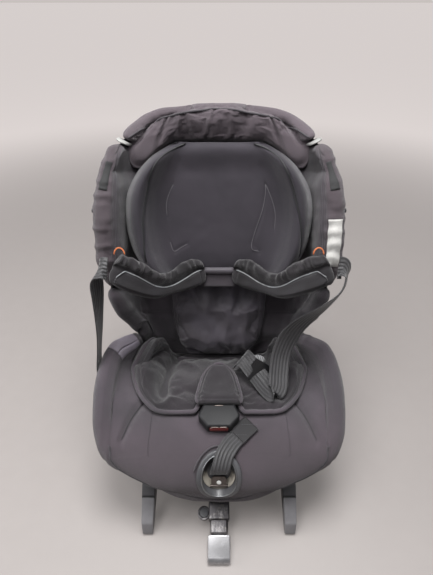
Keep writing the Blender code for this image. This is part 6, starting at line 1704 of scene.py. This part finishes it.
# Stage: the backdrop's colour, half the floor's width, and the lamps with their places, sizes and watts
BACKDROP = (0.58, 0.535, 0.52)
FLOOR_HALF = 30
LAMPS = (("key", (-0.8, -0.7, 2.2), 0.8, 24), ("fill", (1.2, -0.6, 1.9), 1.2, 9),
         ("left", (-1.6, -0.3, 0.9), 0.7, 12), ("top", (0.05, -0.05, 2.4), 0.9, 62))
LAMP_AIM = Vector((0, 0, 0.35))
# The photograph's camera: its place and its pitch below the level, then in pixels its focal length, the shift
# of its middle and the picture's height, which is the longer side
CAMERA_PLACE = (0, -0.62, 0.88)
CAMERA_PITCH = 36.1
FOCAL_LENGTH = 415
MIDDLE_SHIFT = -2.5
PICTURE_HEIGHT = 575
SENSOR = 36


def lay_floor(scene):
    """A floor in the photograph's colours, which rays that see it far away find as bright as the backdrop."""
    drawing = bmesh.new()
    bmesh.ops.create_grid(drawing, x_segments=1, y_segments=1, size=FLOOR_HALF)
    mesh = bpy.data.meshes.new("floor")
    drawing.to_mesh(mesh)
    drawing.free()
    finish = Finish("floor_paint", 0.55)
    speck = finish.noise(30, 4)
    x, y = finish.node("SeparateXYZ", None, {0: finish.place}, (0, 1))
    far = (x * x + y * y).step(0.1, 9.0)
    camera, glossy, clear = finish.node("LightPath", None, {}, (0, 3, 6))
    paint = finish.blend((0.242, 0.220, 0.211), (0.260, 0.237, 0.228), speck)
    # Painted light: the floor glows for camera, glossy and transmission rays, dim near the seat and as bright
    # as the backdrop far away.
    glow = finish.blend((0.08, 0.074, 0.071), BACKDROP, far)
    finish.feed(Base_Color=paint, Roughness=speck * 0.1 + 0.5,
                Emission_Color=finish.blend((0.0, 0.0, 0.0), glow, camera + glossy + clear))
    finish.surface.inputs["Emission Strength"].default_value = 1.0
    mesh.materials.append(finish.material)
    floor = bpy.data.objects.new("floor", mesh)
    scene.collection.objects.link(floor)


def light_world(scene):
    """A soft world light, and the plain backdrop for the camera."""
    world = bpy.data.worlds.new("studio")
    scene.world = world
    world.use_nodes = True
    tree = world.node_tree
    kinds = ("LightPath", "Background", "MixShader")
    path, glow, joined = (tree.nodes.new("ShaderNode" + kind) for kind in kinds)
    plain = tree.nodes["Background"]
    plain.inputs["Color"].default_value = (0.95, 0.94, 0.97, 1)
    plain.inputs["Strength"].default_value = 0.25
    glow.inputs["Color"].default_value = (*BACKDROP, 1)
    tree.links.new(path.outputs["Is Camera Ray"], joined.inputs[0])
    tree.links.new(plain.outputs[0], joined.inputs[1])
    tree.links.new(glow.outputs[0], joined.inputs[2])
    tree.links.new(joined.outputs[0], tree.nodes["World Output"].inputs["Surface"])


def hang_lamps(scene):
    """Square lamps round the seat, aimed at its middle."""
    power = settings().lamp_strength
    for name, place, size, watts in LAMPS:
        lamp = bpy.data.lights.new(name, "AREA")
        lamp.shape = "SQUARE"
        lamp.size = size
        lamp.energy = watts * power
        light = bpy.data.objects.new(name, lamp)
        light.location = place
        light.rotation_euler = (LAMP_AIM - Vector(place)).to_track_quat("-Z", "Y").to_euler()
        scene.collection.objects.link(light)


def set_camera(scene):
    """The camera stands where the photograph was taken from."""
    data = bpy.data.cameras.new("camera")
    data.lens = SENSOR * FOCAL_LENGTH / PICTURE_HEIGHT
    data.shift_x = MIDDLE_SHIFT / PICTURE_HEIGHT
    camera = bpy.data.objects.new("camera", data)
    camera.location = CAMERA_PLACE
    camera.rotation_euler = (math.radians(90 - CAMERA_PITCH), 0, 0)
    scene.collection.objects.link(camera)
    scene.camera = camera


def make_stage():
    scene = bpy.context.scene
    scene.view_settings.view_transform = "Standard"
    for old in [o for o in scene.objects if o.type in ("LIGHT", "CAMERA")]:
        bpy.data.objects.remove(old)
    lay_floor(scene)
    light_world(scene)
    hang_lamps(scene)
    set_camera(scene)


# Buttons of the panel, in the order in which they run
class CARSEAT_OT_stage(bpy.types.Operator):
    """Lays the floor and sets the lamps and the camera"""
    bl_idname = "car_seat.stage"
    bl_label = "Stage"

    def execute(self, context):
        make_stage()
        return {"FINISHED"}


class CARSEAT_OT_shell(bpy.types.Operator):
    """Makes the moulded shell, its ribs, rear panel and liners"""
    bl_idname = "car_seat.shell"
    bl_label = "Shell"

    def execute(self, context):
        make_shell()
        return {"FINISHED"}


class CARSEAT_OT_seat_cover(bpy.types.Operator):
    """Makes the padded seat cover with its seams and hem"""
    bl_idname = "car_seat.seat_cover"
    bl_label = "Seat cover"

    def execute(self, context):
        make_seat_cover()
        return {"FINISHED"}


class CARSEAT_OT_back_cover(bpy.types.Operator):
    """Makes the cover over the waist and lower back"""
    bl_idname = "car_seat.back_cover"
    bl_label = "Back cover"

    def execute(self, context):
        make_back_cover()
        return {"FINISHED"}


class CARSEAT_OT_insert(bpy.types.Operator):
    """Makes the two-lobed seat insert with its piping"""
    bl_idname = "car_seat.insert"
    bl_label = "Seat insert"

    def execute(self, context):
        make_insert()
        return {"FINISHED"}


class CARSEAT_OT_back_pad(bpy.types.Operator):
    """Makes the wrinkled pad of the lower back"""
    bl_idname = "car_seat.back_pad"
    bl_label = "Back pad"

    def execute(self, context):
        make_back_pad()
        return {"FINISHED"}


class CARSEAT_OT_wings(bpy.types.Operator):
    """Makes the side wings with their seams and tabs"""
    bl_idname = "car_seat.wings"
    bl_label = "Wings"

    def execute(self, context):
        make_wings()
        return {"FINISHED"}


class CARSEAT_OT_top_pad(bpy.types.Operator):
    """Makes the padded flap behind the headrest"""
    bl_idname = "car_seat.top_pad"
    bl_label = "Top pad"

    def execute(self, context):
        make_top_pad()
        return {"FINISHED"}


class CARSEAT_OT_headrest(bpy.types.Operator):
    """Makes the headrest cushion and finishes its carriage"""
    bl_idname = "car_seat.headrest"
    bl_label = "Headrest"

    def execute(self, context):
        make_headrest()
        return {"FINISHED"}


class CARSEAT_OT_shoulder_pads(bpy.types.Operator):
    """Makes the shoulder pads, neck roll and elastic loops"""
    bl_idname = "car_seat.shoulder_pads"
    bl_label = "Shoulder pads"

    def execute(self, context):
        make_shoulder_pads()
        return {"FINISHED"}


class CARSEAT_OT_harness(bpy.types.Operator):
    """Makes the webbing of the harness"""
    bl_idname = "car_seat.harness"
    bl_label = "Harness"

    def execute(self, context):
        make_harness()
        return {"FINISHED"}


class CARSEAT_OT_crotch_pad(bpy.types.Operator):
    """Makes the crotch pad and the buckle"""
    bl_idname = "car_seat.crotch_pad"
    bl_label = "Crotch pad and buckle"

    def execute(self, context):
        make_crotch_pad()
        return {"FINISHED"}


class CARSEAT_OT_adjuster(bpy.types.Operator):
    """Makes the strap adjuster in the front of the seat"""
    bl_idname = "car_seat.adjuster"
    bl_label = "Adjuster"

    def execute(self, context):
        make_adjuster()
        return {"FINISHED"}


class CARSEAT_OT_base(bpy.types.Operator):
    """Makes the housing, rails, feet and anchor arms"""
    bl_idname = "car_seat.base"
    bl_label = "Base"

    def execute(self, context):
        make_base()
        return {"FINISHED"}


class CARSEAT_OT_leg(bpy.types.Operator):
    """Makes the support leg and its foot"""
    bl_idname = "car_seat.leg"
    bl_label = "Support leg"

    def execute(self, context):
        make_leg()
        return {"FINISHED"}


OPERATORS = (CARSEAT_OT_stage, CARSEAT_OT_shell, CARSEAT_OT_seat_cover, CARSEAT_OT_back_cover,
             CARSEAT_OT_insert, CARSEAT_OT_back_pad, CARSEAT_OT_wings, CARSEAT_OT_top_pad,
             CARSEAT_OT_headrest, CARSEAT_OT_shoulder_pads, CARSEAT_OT_harness, CARSEAT_OT_crotch_pad,
             CARSEAT_OT_adjuster, CARSEAT_OT_base, CARSEAT_OT_leg)


class CARSEAT_PT_panel(bpy.types.Panel):
    """Sizes, colours and buttons of the car seat"""
    bl_label = "Car Seat"
    bl_space_type = "VIEW_3D"
    bl_region_type = "UI"
    bl_category = "Car Seat"

    def draw(self, context):
        values = context.scene.car_seat
        for name in CarSeatSettings.__annotations__:
            self.layout.prop(values, name)
        for made in OPERATORS:
            self.layout.operator(made.bl_idname)


CLASSES = (CarSeatSettings, *OPERATORS, CARSEAT_PT_panel)


def register():
    for item in CLASSES:
        bpy.utils.register_class(item)
    bpy.types.Scene.car_seat = bpy.props.PointerProperty(type=CarSeatSettings)


def unregister():
    del bpy.types.Scene.car_seat
    for item in reversed(CLASSES):
        bpy.utils.unregister_class(item)


def main():
    """Runs the buttons in their order."""
    register()
    for made in OPERATORS:
        getattr(bpy.ops.car_seat, made.bl_idname.split(".")[1])()


if __name__ == "__main__":
    main()
